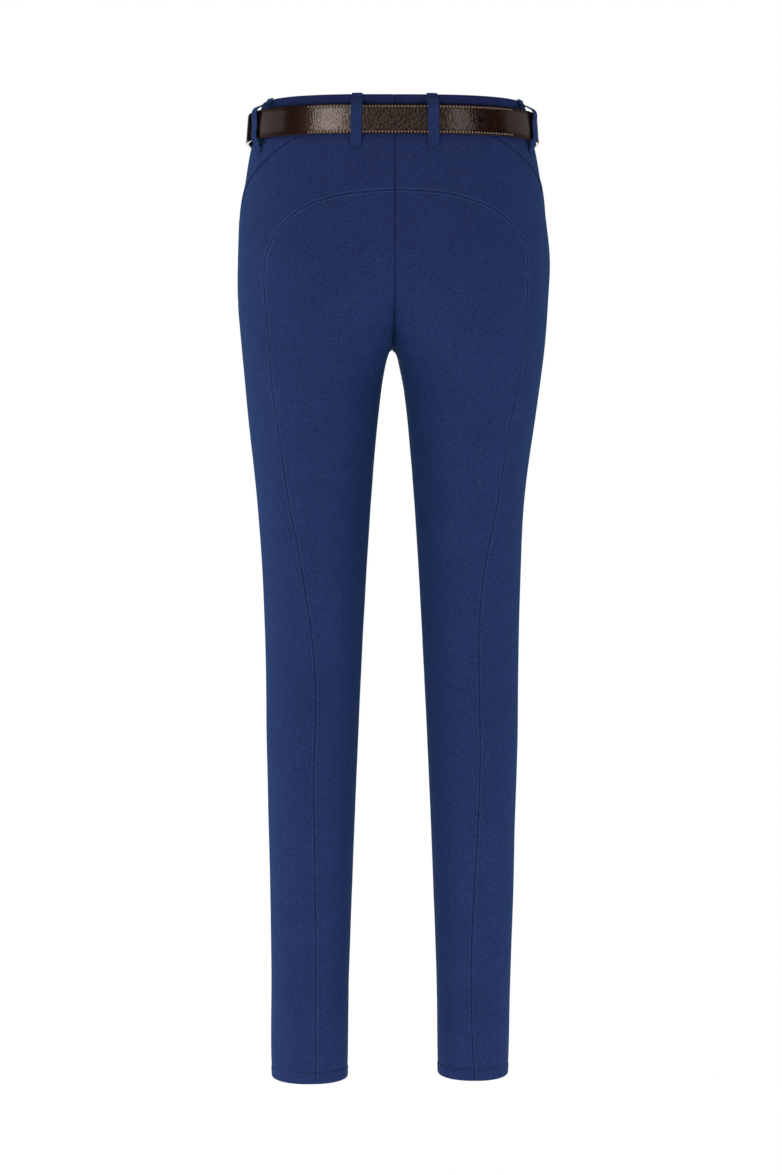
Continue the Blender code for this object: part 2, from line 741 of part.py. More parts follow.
def block(name, distances, offsets, heights):
    """A block in the belt's own directions, used as a cutter."""
    (start, end), (near, far) = distances, offsets
    corners = ((start, near), (end, near), (end, far), (start, far))
    points = [belt_place(distance, offset, z) for z in heights for distance, offset in corners]
    faces = [[3, 2, 1, 0], [4, 5, 6, 7], [0, 1, 5, 4], [1, 2, 6, 5], [2, 3, 7, 6], [3, 0, 4, 7]]
    return new_object(name, points, facing_out(points, faces), STEEL, smooth_shading=False)


def combine(target, tool, operation):
    """Applies a Boolean and removes its tool."""
    modifier = target.modifiers.new(operation, "BOOLEAN")
    modifier.operation = operation
    modifier.object = tool
    graph = bpy.context.evaluated_depsgraph_get()
    mesh = bpy.data.meshes.new_from_object(target.evaluated_get(graph))
    target.modifiers.clear()
    target.data = mesh
    bpy.data.objects.remove(tool, do_unlink=True)


def add_eye(strap):
    """The strap's end, turned round the buckle's bar, with a slot for the prong."""
    radius = BUCKLE_ROD + SEAM_GAP + EYE_WALL
    combine(strap, upright_cylinder("eye", 0.0, BAR_OFFSET, radius, BELT_HEIGHT - 0.0004), "UNION")
    combine(strap, upright_cylinder("bar_hole", 0.0, BAR_OFFSET, BUCKLE_ROD + SEAM_GAP, 0.05), "DIFFERENCE")
    reach = radius + 2 * BUCKLE_ROD
    out = FREE_END_AT_BAR - BELT_WALL / 2 - SEAM_GAP
    combine(strap, block("prong_slot", (-reach, reach), (-reach, out), (-EYE_SLOT, EYE_SLOT)), "DIFFERENCE")


def punch(strap):
    """The hole that the prong goes through."""
    reach = (FREE_END_AT_BAR - BELT_WALL * 0.75, FREE_END_AT_BAR + BELT_WALL)
    at = -(BUCKLE_ROD + SEAM_GAP + PRONG_ROD)
    hole = block("hole", (at - HOLE_HALF, at + HOLE_HALF), reach, (-HOLE_HALF, HOLE_HALF))
    combine(strap, hole, "DIFFERENCE")


def rod(name, path, radius, material, closed=False):
    """A round rod along a path."""
    curve = bpy.data.curves.new(name, "CURVE")
    curve.dimensions = "3D"
    curve.bevel_depth = radius
    curve.bevel_resolution = 2
    curve.use_fill_caps = True
    spline = curve.splines.new("POLY")
    spline.points.add(len(path) - 1)
    for point, co in zip(spline.points, path):
        point.co = (*co, 1.0)
    spline.use_cyclic_u = closed
    curve.materials.append(material)
    piece = bpy.data.objects.new(name, curve)
    bpy.context.collection.objects.link(piece)
    return piece


def make_buckle(material):
    """A frame whose heel lies in the strap's eye and whose far side lies over the strap."""
    far_offset = BELT_WALL / 2 + BUCKLE_ROD + BUCKLE_OFF_STRAP

    def frame_place(along, z):
        part = along / BUCKLE_LENGTH
        return belt_place(-along, BAR_OFFSET + (far_offset - BAR_OFFSET) * part, z)

    outline = []
    for end, first_angle, sign_along, sign_up in (
        ("far", -90, 1, -1),
        ("far", 0, 1, 1),
        ("bar", 90, -1, 1),
        ("bar", 180, -1, -1),
    ):
        corner = BUCKLE_CORNER[end]
        centre_along = (BUCKLE_LENGTH if end == "far" else 0.0) - sign_along * corner
        centre_up = sign_up * (BUCKLE_HALF_HEIGHT - corner)
        for angle in np.radians(first_angle + np.array((5, 30, 60, 85))):
            along = centre_along + corner * math.cos(angle)
            outline.append(frame_place(along, centre_up + corner * math.sin(angle)))
    rod("buckle_frame", outline, BUCKLE_ROD, material, closed=True)

    wrap = BUCKLE_ROD + SEAM_GAP + PRONG_ROD
    path = []
    for angle in np.radians((35, 10, -20, -50, -80, -110, -140, -165, -180)):
        path.append(belt_place(wrap * math.cos(angle), BAR_OFFSET + wrap * math.sin(angle), 0.0))
    rest = far_offset + BUCKLE_ROD + SEAM_GAP + PRONG_ROD
    outside = FREE_END_AT_BAR + BELT_WALL / 2 + SEAM_GAP + PRONG_ROD
    path.append(belt_place(-wrap, outside - 0.0020, 0.0))
    for share, off in PRONG_RISE:
        path.append(belt_place(-wrap - share * BUCKLE_LENGTH, outside + off * MM, 0.0))
    path.append(belt_place(-BUCKLE_LENGTH * 0.6, (outside + rest) / 2 + SEAM_GAP, 0.0))
    path.append(belt_place(-BUCKLE_LENGTH - PRONG_PAST_FRAME, rest, 0.0))
    rod("buckle_prong", path, PRONG_ROD, material)


def make_keeper(material):
    """A leather band round both layers of the strap."""
    low = -BELT_WALL / 2 - SEAM_GAP
    high = FREE_END_OFFSET + BELT_WALL / 2 + SEAM_GAP
    side = BELT_HEIGHT / 2 + SEAM_GAP
    points, faces = [], []
    stations = np.linspace(KEEPER_FROM_BAR, KEEPER_FROM_BAR + KEEPER_WIDTH, 3)
    for distance in stations:
        for wall in (0.0, KEEPER_WALL):
            for offset, z in ((low, -side), (high, -side), (high, side), (low, side)):
                grow_out = wall if offset == high else -wall
                grow_up = wall if z > 0 else -wall
                points.append(belt_place(distance, offset + grow_out, z + grow_up))
    for i in range(len(stations) - 1):
        for wall, flip in ((0, True), (4, False)):
            for k in range(4):
                a, b = 8 * i + wall + k, 8 * i + wall + (k + 1) % 4
                face = [a, b, b + 8, a + 8]
                faces.append(face[::-1] if flip else face)
    for base, flip in ((0, False), (8 * (len(stations) - 1), True)):
        for k in range(4):
            n = (k + 1) % 4
            face = [base + k, base + n, base + 4 + n, base + 4 + k]
            faces.append(face[::-1] if flip else face)
    return new_object("belt_keeper", points, facing_out(points, faces), material, smooth_shading=False)


def make_loop(name, side, face, across, layers, material):
    """A belt loop: from the waistband's top edge, out over the belt and back to its foot."""
    s = round_at(side, face, across * MM, 0.0)
    out = outward(side, s, 0.0)
    out[2] = 0.0
    out /= np.linalg.norm(out)
    width = np.array([-out[1], out[0], 0.0])

    def reach_of_belt():
        base = place(side, s, 0.0)[:2]
        gaps = BELT_POINTS - base
        ahead = gaps @ out[:2]
        aside = np.abs(gaps @ width[:2])
        return ahead[np.argmin(aside + 10 * (ahead < 0))]

    belt_out = reach_of_belt() + BELT_WALL / 2 + (layers - 1) * FREE_END_OFFSET
    over = belt_out + LOOP_OFF_BELT + LOOP_WALL / 2
    middle = place(side, s, 0.0)
    outer_way = width * math.copysign(1.0, width[0] * middle[0])
    course = [dict(zip(LOOP_COURSE_COLUMNS, row)) for row in LOOP_COURSE]
    top, foot = course[0]["height"], course[-1]["height"]
    path = []
    for at in course:
        cloth = np.dot(place(side, s, at["cloth_at"] * MM) - middle, out) + LOOP_OFF_CLOTH + LOOP_WALL / 2
        offset = cloth * (1 - at["share"]) + over * at["share"] + at["more"] * MM
        splay = LOOP_SPLAY * ((top - at["height"]) / (top - foot) - 0.5)
        path.append(middle + out * offset + outer_way * splay + np.array([0, 0, at["height"] * MM]))
    points, faces = [], []
    for i, centre in enumerate(path):
        ahead = path[min(i + 1, len(path) - 1)] - path[max(i - 1, 0)]
        ahead /= np.linalg.norm(ahead)
        thick = np.cross(ahead, width)
        for a, b in ((-1, -1), (1, -1), (1, 1), (-1, 1)):
            points.append(centre + width * a * LOOP_WIDTH / 2 + thick * b * LOOP_WALL / 2)
    for i in range(len(path) - 1):
        for k in range(4):
            a, b = 4 * i + k, 4 * i + (k + 1) % 4
            faces.append([a, b, b + 4, a + 4])
    last = 4 * (len(path) - 1)
    faces += [[3, 2, 1, 0], [last, last + 1, last + 2, last + 3]]
    return new_object(name, points, facing_out(points, faces), material, smooth_shading=False)


def clear_scene():
    for piece in list(bpy.data.objects):
        bpy.data.objects.remove(piece, do_unlink=True)


clear_scene()
CLOTH_MATERIAL = principled("navy_cotton_twill", (0.018, 0.030, 0.110), 0.85)
LEATHER = principled("brown_leather", (0.045, 0.022, 0.016), 0.45)
STEEL = principled("brushed_steel", (0.60, 0.58, 0.55), 0.35, 1.0)
ZIP_CLOTH = principled("zip_tape_cloth", (0.010, 0.014, 0.045), 0.9)

for leg in ("left", "right"):
    make_front(leg, CLOTH_MATERIAL)
    make_back(leg, CLOTH_MATERIAL)
    make_seat(leg, CLOTH_MATERIAL)
    make_waistband(leg, CLOTH_MATERIAL)
make_fly(CLOTH_MATERIAL)
make_zip(ZIP_CLOTH)
make_strap(LEATHER)
make_keeper(LEATHER)
make_buckle(STEEL)
for loop in LOOPS:
    make_loop(*loop, CLOTH_MATERIAL)
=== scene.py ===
import math

import bpy
import numpy as np
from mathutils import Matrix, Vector
from mathutils.bvhtree import BVHTree
from mathutils.kdtree import KDTree


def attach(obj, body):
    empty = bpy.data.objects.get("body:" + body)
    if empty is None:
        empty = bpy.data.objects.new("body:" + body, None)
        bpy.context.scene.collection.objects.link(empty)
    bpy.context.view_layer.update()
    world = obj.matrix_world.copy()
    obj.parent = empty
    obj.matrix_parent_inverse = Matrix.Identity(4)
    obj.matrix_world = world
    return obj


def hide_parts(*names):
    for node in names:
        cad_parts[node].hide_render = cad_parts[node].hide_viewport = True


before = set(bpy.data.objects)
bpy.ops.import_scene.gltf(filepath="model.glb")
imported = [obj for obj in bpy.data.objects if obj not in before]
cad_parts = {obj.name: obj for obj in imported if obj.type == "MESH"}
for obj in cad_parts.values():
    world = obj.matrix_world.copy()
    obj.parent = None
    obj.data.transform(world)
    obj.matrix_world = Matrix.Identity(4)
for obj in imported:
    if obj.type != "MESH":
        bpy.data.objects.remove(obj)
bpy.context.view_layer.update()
mm = 0.001

# The garment's own form, the same as the solids': metres unless a name says otherwise.
garment = {
    "waistTop": 0.027,
    "waistSeam": -0.012,
    "seatFoot": -0.182,  # where the seat's arc runs on into the leg seam
    "crotch": -0.229,
    "hem": {"left": -0.990, "right": -0.987},
    "riseTurn": {"front": -0.120, "back": -0.095},
    "crotchArch": 0.0016,
    "crotchFade": 0.045,
    "squareness": 0.10,
    "grooveTightness": 30,  # how narrow the dip beside the crotch seam is
    "cloth": 0.0014,
    "hemTurn": 0.012,
    "hemWall": 0.0026,
    "hemDrop": 0.003,  # how much lower the hem hangs at the back of the ankle
    "waistbandWall": 0.0024,
}

# Millimetres: outer and inner leg lines across from the centre, and depths from the side line.
sectionNames = (
    "height", "outer_left", "inner_left", "outer_right", "inner_right", "crown", "side", "front", "back",
)
sections = (
    (40, 133, 0, 136, 0, 0.20, 0, 90, 92),
    (26, 137, 0, 139, 0, 0.20, 0, 92, 94),
    (0, 143, 0, 144, 0, 0.21, 0, 97, 99),
    (-18, 148, 0, 149, 0, 0.22, 0, 99, 102),
    (-52, 154, 0, 155, 0, 0.26, 0, 102, 108),
    (-94, 160, 0, 161, 0, 0.32, 0, 104, 115),
    (-136, 162, 0, 165, 0, 0.38, 1, 105, 119),
    (-178, 162, 0, 163, 0, 0.44, 3, 103, 117),
    (-230, 158, 5, 159, 4, 0.50, 6, 97, 108),
    (-262, 155, 12, 155, 10, 0.50, 6, 93, 102),
    (-304, 151, 19, 149, 17, 0.50, 6, 88, 94),
    (-388, 142, 28, 138, 27, 0.50, 5, 79, 79),
    (-472, 136, 31, 134, 33, 0.50, 4, 69, 66),
    (-556, 133, 34, 132, 37, 0.50, 4, 61, 58),
    (-640, 132, 38, 131, 40, 0.50, 7, 55, 57),
    (-724, 130, 41, 128, 42, 0.50, 10, 51, 56),
    (-808, 128, 44, 126, 44, 0.50, 11, 48, 52),
    (-892, 127, 46, 123, 46, 0.50, 11, 46, 48),
    (-972, 127, 47, 121, 47, 0.50, 11, 44, 46),
    (-1010, 125, 48, 119, 48, 0.50, 11, 44, 46),
)
seamNames = ("height", "left", "right")
sideSeamRows = (
    (-12, 110, 106), (-22, 95, 90), (-34, 77, 71), (-46, 58, 50), (-58, 38, 29), (-70, 19, 12),
    (-84, 2, -2), (-104, -8, -9), (-150, -12, -12), (-1010, -12, -12),
)
legSeamRows = (
    (-182, 133, 136), (-225, 129, 134), (-257, 127, 129), (-280, 125, 125), (-304, 121, 120),
    (-350, 115, 113), (-405, 106, 104), (-450, 97, 95), (-490, 91, 90), (-520, 86, 88), (-560, 82, 88),
    (-616, 81, 89), (-670, 83, 89), (-740, 82, 86), (-835, 81, 81), (-900, 81, 80), (-1010, 81, 85),
)
# The seat's arc: across on the left and right, then height on the left and right.
seatArcRows = (
    (0, 0, -73, -73), (30, 30, -75, -74), (58, 56, -79, -77), (80, 79, -85, -83), (97, 98, -93, -90),
    (110, 112, -103, -99), (120, 123, -114, -109), (127, 130, -126, -120), (132, 135, -139, -135),
    (134, 137, -158, -155), (133, 136, -182, -182),
)
hipRungs = (-12, -22, -32, -42, -53, -64, -76, -89, -104, -122, -141, -161, -182)
seatRungs = (-73, -84, -95, -106, -117, -128, -139, -150, -161, -171.5, -182)

# Folds and creases of each face: across, height, half-length, half-breadth, tilt in degrees, and rise
# in millimetres. The first few of each are its main folds.
folds = {
    ("left", "back"): (
        (62, -262, 55, 22, 28, -3.0), (50, -372, 60, 26, 62, -2.5), (84, -548, 55, 26, -8, -1.5),
        (86, -600, 50, 26, 12, 1.5), (84, -880, 60, 24, 14, -2.0),
        (118, -330, 50, 7, 74, -1.1), (108, -398, 34, 6, 66, -0.7), (46, -312, 26, 8, 40, -1.0),
        (60, -286, 30, 7, 24, 0.8), (98, -540, 34, 7, -14, -0.8), (72, -572, 30, 6, 12, -0.7),
        (104, -604, 26, 6, 6, 0.6), (70, -648, 34, 8, -10, -0.6), (96, -700, 30, 8, 8, 0.5),
        (92, -770, 36, 9, -5, -0.5), (70, -842, 32, 9, 9, 0.5), (102, -918, 44, 8, 82, 0.6),
        (100, -470, 30, 6, 20, -0.7), (50, -500, 26, 6, -24, -0.8),
    ),
    ("right", "back"): (
        (58, -268, 50, 22, -30, -3.0), (48, -398, 60, 26, -60, -2.5), (84, -556, 55, 26, 10, -1.5),
        (70, -622, 55, 26, -35, 1.5), (84, -900, 60, 24, -14, -2.0),
        (38, -396, 15, 4, 30, -1.3), (44, -404, 17, 5, 34, 0.7), (106, -486, 28, 6, -16, -0.7),
        (96, -300, 40, 9, -48, -1.0), (44, -322, 24, 8, -38, -0.9), (112, -366, 36, 7, -70, -0.7),
        (54, -420, 30, 8, -62, -0.9), (100, -548, 30, 6, 16, -0.8), (70, -582, 32, 6, -12, -0.7),
        (60, -640, 34, 7, -38, -0.9), (78, -668, 36, 7, -34, 0.7), (98, -712, 32, 8, -10, -0.5),
        (86, -790, 34, 9, 8, 0.5), (74, -862, 36, 9, -8, -0.5), (98, -930, 40, 9, 84, 0.5),
    ),
    ("left", "front"): (
        (70, -236, 55, 22, -30, -3.0), (84, -560, 50, 24, 8, 2.0),
        (100, -262, 34, 7, -34, 0.9), (52, -286, 30, 8, -48, -0.9), (104, -548, 30, 7, 14, -0.8),
        (68, -588, 32, 7, -12, -0.7), (92, -650, 30, 8, 6, 0.5), (74, -760, 36, 9, -8, -0.5),
        (96, -880, 36, 9, 10, 0.5),
    ),
    ("right", "front"): (
        (70, -240, 55, 22, 30, -3.0), (84, -566, 50, 24, -6, 2.0),
        (102, -270, 34, 7, 36, 0.9), (50, -292, 30, 8, 46, -0.9), (98, -556, 30, 7, -12, -0.8),
        (70, -596, 32, 7, 14, -0.7), (90, -664, 30, 8, -6, 0.5), (76, -780, 36, 9, 8, -0.5),
        (94, -900, 36, 9, -10, 0.5),
    ),
}


def columnsOf(names, rows):
    values = np.array(rows, float)
    values = values[np.argsort(values[:, 0])]
    return {name: values[:, i] for i, name in enumerate(names)}


sectionTable = columnsOf(sectionNames, sections)
sideSeamTable = columnsOf(seamNames, sideSeamRows)
legSeamTable = columnsOf(seamNames, legSeamRows)


# A smooth curve through values at rising places.
def curveThrough(places, values, at):
    slopes = np.gradient(values, places)
    i = np.clip(np.searchsorted(places, at) - 1, 0, len(places) - 2)
    span = places[i + 1] - places[i]
    t = (at - places[i]) / span
    return (
        values[i] * (2 * t**3 - 3 * t**2 + 1)
        + values[i + 1] * (3 * t**2 - 2 * t**3)
        + span * (slopes[i] * (t**3 - 2 * t**2 + t) + slopes[i + 1] * (t**3 - t**2))
    )


def ease(t):
    t = np.clip(t, 0, 1)
    return t * t * (3 - 2 * t)


# A soft bump of height 1 at a centre.
def hump(place, centre, breadth):
    return np.exp(-(((place - centre) / breadth) ** 2))


def unit(vectors):
    return vectors / np.maximum(np.linalg.norm(vectors, axis=-1, keepdims=True), 1e-12)


def lengthsAlong(points):
    steps = np.linalg.norm(np.diff(points, axis=-2), axis=-1)
    return np.concatenate([np.zeros(steps.shape[:-1] + (1,)), np.cumsum(steps, axis=-1)], axis=-1)


# Places on a line of points, at distances along it.
def placesAlong(at, lengths, points):
    return np.stack([np.interp(at, lengths, points[:, axis]) for axis in range(points.shape[1])], axis=-1)


def spread(start, end, spacing):
    return np.linspace(start, end, max(2, int(round(abs(end - start) / spacing)) + 1))


def sectionSize(name, z):
    value = curveThrough(sectionTable["height"], sectionTable[name], z / mm)
    return value if name == "crown" else value * mm


# Points from the side line round to the inner line, as across and depth.
def quarterPoints(outer, inner, legLine, crown, depth, seamDown, bodyDown):
    angle = np.linspace(0, math.pi, 193)[None, :]
    turn = np.cos(angle) * (1 + garment["squareness"] * np.sin(angle) ** 2)
    oval = np.sin(angle) * (1 + garment["squareness"] * np.cos(angle) ** 2)
    outside = angle < math.pi / 2
    part = np.clip(-turn, 0, 1)
    across = crown + np.where(outside, outer - crown, crown - legLine) * turn + (inner - legLine) * part**8
    beside = bodyDown**4 * (5 - 4 * bodyDown)
    share = beside + (seamDown**4 - beside) * part**garment["grooveTightness"]
    innerDepth = np.sqrt(np.clip(1 - share * (1 - oval**2), 0, 1))
    return np.stack([across, depth * np.where(outside, oval, innerDepth)], axis=-1)


# How far the folds move the cloth out at places across and up, in metres.
def foldRise(side, face, across, z):
    total = np.zeros_like(across)
    for foldAcross, height, length, breadth, tilt, rise in folds[side, face]:
        dx = across / mm - foldAcross
        dz = z / mm - height
        turn = math.radians(tilt)
        along = (dx * math.cos(turn) + dz * math.sin(turn)) / length
        aside = (dz * math.cos(turn) - dx * math.sin(turn)) / breadth
        total += rise * mm * np.exp(-(along**2) - aside**2)
    return total


# Each side's surface as a fine grid: s runs from -1 at the centre front, over 0 at the side, to 1.
gridStep = 0.0005
gridLow = -1.000
gridHeights = np.arange(gridLow, 0.0355, gridStep)
halfCount = 201
halfPlaces = np.linspace(0, 1, halfCount)
roundPlaces = np.linspace(-1, 1, 2 * halfCount - 1)
seamBlend = 8  # columns beside the centre over which the two sides' directions are blended


def makeSurface(side):
    z = gridHeights[:, None]
    sign = 1 if side == "left" else -1
    outer = sectionSize("outer_" + side, z)
    legLine = np.clip(sectionSize("inner_" + side, z), 0, None)
    arch = np.sqrt(np.clip(garment["crotch"] - z, 0, None) * 2 * garment["crotchArch"])
    inner = np.minimum(arch, legLine)
    crown = legLine + sectionSize("crown", z) * (outer - legLine)
    halves, lengths = {}, {}
    for face in ("front", "back"):
        turn = garment["riseTurn"][face]
        seamDown = np.clip((turn - z) / (turn - garment["crotch"]), 0, 1)
        bodyDown = np.clip((turn - z) / (turn - garment["crotch"] + garment["crotchFade"]), 0, 1)
        depth = sectionSize(face, z)
        outline = quarterPoints(outer, inner, legLine, crown, depth, seamDown, bodyDown)
        length = lengthsAlong(outline)
        steadyOutline = quarterPoints(outer, legLine, legLine, crown, depth, bodyDown, bodyDown)
        steady = lengthsAlong(steadyOutline)[:, -1:]
        reach = halfPlaces * steady + halfPlaces**6 * (length[:, -1:] - steady)
        across = np.array([np.interp(r, le, o[:, 0]) for r, le, o in zip(reach, length, outline)])
        deep = np.array([np.interp(r, le, o[:, 1]) for r, le, o in zip(reach, length, outline)])
        fade = ease(np.minimum(halfPlaces, 1 - halfPlaces) * 6)
        deep = deep + foldRise(side, face, across, z + 0 * across) * fade
        halves[face], lengths[face] = (across, deep), reach
    x = np.hstack([halves["front"][0][:, :0:-1], halves["back"][0]]) * sign
    y = np.hstack([-halves["front"][1][:, :0:-1], halves["back"][1]]) + sectionSize("side", z)
    points = np.stack([x, y, z + 0 * x], axis=-1)
    normals = unit(np.cross(np.gradient(points, axis=1), np.gradient(points, axis=0))) * sign
    # One direction for both sides of a seam at the inseam and at the centre.
    below = (gridHeights <= garment["crotch"])[:, None]
    shared = unit(normals[:, -1] + normals[:, 0])
    blended = normals.copy()
    for end, step in ((0, 1), (-1, -1)):
        level = normals[:, end] * np.array([0.0, 1.0, 1.0])
        target = np.where(below, shared, unit(level))
        for k in range(seamBlend):
            weight = 1 - ease(k / seamBlend)
            blended[:, end + step * k] = unit(normals[:, end + step * k] * (1 - weight) + target * weight)
    return {"points": points, "normals": blended, "lengths": lengths}


surfaces = {side: makeSurface(side) for side in ("left", "right")}
print("surfaces made")


def mixed(values, i, j, ti, tj):
    ti, tj = ti[..., None], tj[..., None]
    low = values[i, j] * (1 - tj) + values[i, j + 1] * tj
    high = values[i + 1, j] * (1 - tj) + values[i + 1, j + 1] * tj
    return low * (1 - ti) + high * ti


# The finished surface and its outward direction at places (s, z).
def surfaceAt(side, s, z):
    s, z = np.broadcast_arrays(np.asarray(s, float), np.asarray(z, float))
    column = (np.clip(s, -1, 1) + 1) / 2 * (len(roundPlaces) - 1)
    row = np.clip((z - gridLow) / gridStep, 0, len(gridHeights) - 1.001)
    j = np.minimum(column.astype(int), len(roundPlaces) - 2)
    i = row.astype(int)
    surface = surfaces[side]
    points = mixed(surface["points"], i, j, row - i, column - j)
    return points, unit(mixed(surface["normals"], i, j, row - i, column - j))


def gridRow(values, z):
    row = np.clip((z - gridLow) / gridStep, 0, len(gridHeights) - 1.001)
    i = int(row)
    return values[i] * (1 - row + i) + values[i + 1] * (row - i)


# The place s where the back or front lies this far across.
def roundAt(side, face, across, z):
    x = np.abs(gridRow(surfaces[side]["points"], z)[:, 0])
    half = x[halfCount - 1:] if face == "back" else x[halfCount - 1::-1]
    s = np.interp(-across, -half, halfPlaces)
    return s if face == "back" else -s


def sideSeam(side, z):
    distance = curveThrough(sideSeamTable["height"], sideSeamTable[side], z / mm) * mm
    face = "back" if distance >= 0 else "front"
    s = np.interp(abs(distance), gridRow(surfaces[side]["lengths"][face], z), halfPlaces)
    return math.copysign(s, distance)


def legSeam(side, z):
    across = curveThrough(legSeamTable["height"], legSeamTable[side], z / mm) * mm
    return roundAt(side, "back", across, z)


# The seat's arc from the centre back outwards: t from 0 to 10 counts its rows.
def arcPlace(side, t):
    arc = np.array(seatArcRows, float)
    column = 0 if side == "left" else 1
    mirrored = arc[1] * np.array([-1, -1, 1, 1])
    rows = np.vstack([mirrored, arc])
    index = np.arange(len(rows), dtype=float)
    across = curveThrough(index, rows[:, column], t + 1) * mm
    z = curveThrough(index, rows[:, 2 + column], t + 1) * mm
    return roundAt(side, "back", max(across, 0.0), z) if across > 0 else 1.0, z


def fromHex(code):
    values = [int(code[i:i + 2], 16) / 255 for i in (1, 3, 5)]
    return (*[v / 12.92 if v <= 0.04045 else ((v + 0.055) / 1.055) ** 2.4 for v in values], 1.0)


# Feeds a node's inputs from other nodes: from their first output, or from the one named beside them.
def feed(tree, node, links):
    for name, source in links.items():
        giver, output = source if isinstance(source, tuple) else (source, 0)
        tree.links.new(giver.outputs[output], node.inputs[name])


# Adds a node with its settings, then its links.
def addNode(tree, kind, settings=None, links=None):
    node = tree.nodes.new("ShaderNode" + kind)
    for name, value in (settings or {}).items():
        if isinstance(name, int) or name in node.inputs:
            node.inputs[name].default_value = value
        else:
            setattr(node, name, value)
    feed(tree, node, links or {})
    return node


def newMaterial(name, settings):
    material = bpy.data.materials.new(name)
    material.use_nodes = True
    shader = material.node_tree.nodes["Principled BSDF"]
    for key, value in settings.items():
        shader.inputs[key].default_value = value
    place = (addNode(material.node_tree, "TexCoord"), "Object")
    return material, material.node_tree, shader, place


# Mixes two colours by one pattern, raises another as bump this many millimetres high, and uses both.
def colourAndBump(tree, shader, colours, share, height, strength, rise):
    dark, light = colours
    colour = addNode(tree, "Mix", {"data_type": "RGBA", 6: fromHex(dark), 7: fromHex(light)}, {0: share})
    bump = addNode(tree, "Bump", {"Strength": strength, "Distance": rise * mm}, {"Height": height})
    feed(tree, shader, {"Base Color": (colour, 2), "Normal": bump})
    return bump


# Woven cotton and elastane twill, brushed: matt, with a faint nap that lightens it where it turns away.
twillLook = {
    "panel": ("#192652", "#2e4280"),
    "loop": ("#172553", "#2a427e"),
    "band": ("#182250", "#2b3b7b"),  # the waistband's twill painted darker: painted shade for the band lying recessed behind the belt
    "nap": "#3c94d2",
    "ribSpacing": 1.5,  # mm, coarser than the real 0.8 so that it shows
    "ribLength": 2.5,  # mm
    "ribTilt": 32,  # degrees
    "ribShare": 0.50,  # how much of the mottling the ribs and the wide clouds make up
    "cloudShare": 0.16,
    "slub": 1.8,  # mm, the slubs that mottle it
    "roughness": 0.88,
    "sheen": 0.26,
    "bump": 0.25,  # mm
}


def makeTwill(name, colours):
    look = twillLook
    material, tree, shader, place = newMaterial(name, {
        "Roughness": look["roughness"], "IOR": 1.5, "Specular IOR Level": 0.25,
        "Sheen Weight": look["sheen"], "Sheen Roughness": 0.45, "Sheen Tint": fromHex(look["nap"]),
    })
    weave = addNode(tree, "Attribute", {"attribute_name": "weaveAt"})
    turned = addNode(tree, "Mapping", {"Rotation": (0, 0, math.radians(look["ribTilt"]))},
                     {"Vector": (weave, "Vector")})
    scale = (1 / (look["ribSpacing"] * mm), 1 / (look["ribLength"] * mm), 1)
    drawn = addNode(tree, "Mapping", {"Scale": scale}, {"Vector": turned})
    ribs = addNode(tree, "TexNoise", {"Scale": 1.0, "Detail": 2.0, "Roughness": 0.55}, {"Vector": drawn})
    slubs = addNode(tree, "TexNoise", {"Scale": 1 / (look["slub"] * mm), "Detail": 2.0, "Roughness": 0.55},
                    {"Vector": place})
    clouds = addNode(tree, "TexNoise", {"Scale": 24.0, "Detail": 2.0}, {"Vector": place})
    mottled = addNode(tree, "Math", {"operation": "MULTIPLY_ADD", 1: look["cloudShare"]},
                      {0: clouds, 2: slubs})
    ribbed = addNode(tree, "Math", {"operation": "MULTIPLY_ADD", 1: look["ribShare"]}, {0: ribs, 2: mottled})
    ramp = addNode(tree, "MapRange", {"From Min": 0.53, "From Max": 1.13}, {"Value": ribbed})
    height = addNode(tree, "Math", {"operation": "MULTIPLY_ADD", 1: 0.8}, {0: ribs, 2: slubs})
    colourAndBump(tree, shader, colours, ramp, height, 0.30, look["bump"])
    return material


# Sewing thread, and the painted shade laid in the belt's awl holes: darker and lighter colour, and roughness.
# Spun polyester has a soft gloss and is lighter than the cloth it is sunk into; the belt's waxed linen is
# pale and thick.
threadLook = {
    "spunPolyesterThread": ("#33508f", "#4a6cb4", 0.55),
    "spunPolyesterThreadWorn": ("#273d75", "#34508f", 0.6),
    "tonalPolyesterThread": ("#111834", "#1c264e", 0.6),
    "waxedLinenThread": ("#a07a5e", "#dab798", 0.5),
    # Painted shade: near-black colour for the marks laid where the awl holes' shade falls.
    "paintedAwlHoleShade": ("#100605", "#1c0e0a", 0.9),
}


def makeThread(name):
    dark, light, roughness = threadLook[name]
    settings = {"Roughness": roughness, "IOR": 1.53, "Sheen Weight": 0.3}
    material, tree, shader, place = newMaterial(name, settings)
    fibres = addNode(tree, "TexNoise", {"Scale": 1400.0, "Detail": 2.0}, {"Vector": place})
    colourAndBump(tree, shader, (dark, light), fibres, fibres, 0.3, 0.05)
    return material


# Vegetable-tanned cow leather, dyed through and polished: pebbled grain under a clear soft gloss.
leatherLook = {
    "face": ("#120706", "#341d18"),
    "edge": ("#3a2117", "#5a3520"),
    "gloss": "#ffdcc6",
    "grain": 2.4,  # mm between pebbles, coarser than the real 1.2 so that they show
    "pore": 1.1,  # mm
    "faceBump": 0.18,  # mm
    "edgeBump": 0.08,
    "roughness": 0.27,
    "coat": 0.5,
    "coatRoughness": 0.14,
    "polish": 0.75,  # how much more the pebbles' tops shine than the valleys and pores between them
    "leastShine": 0.27,
}


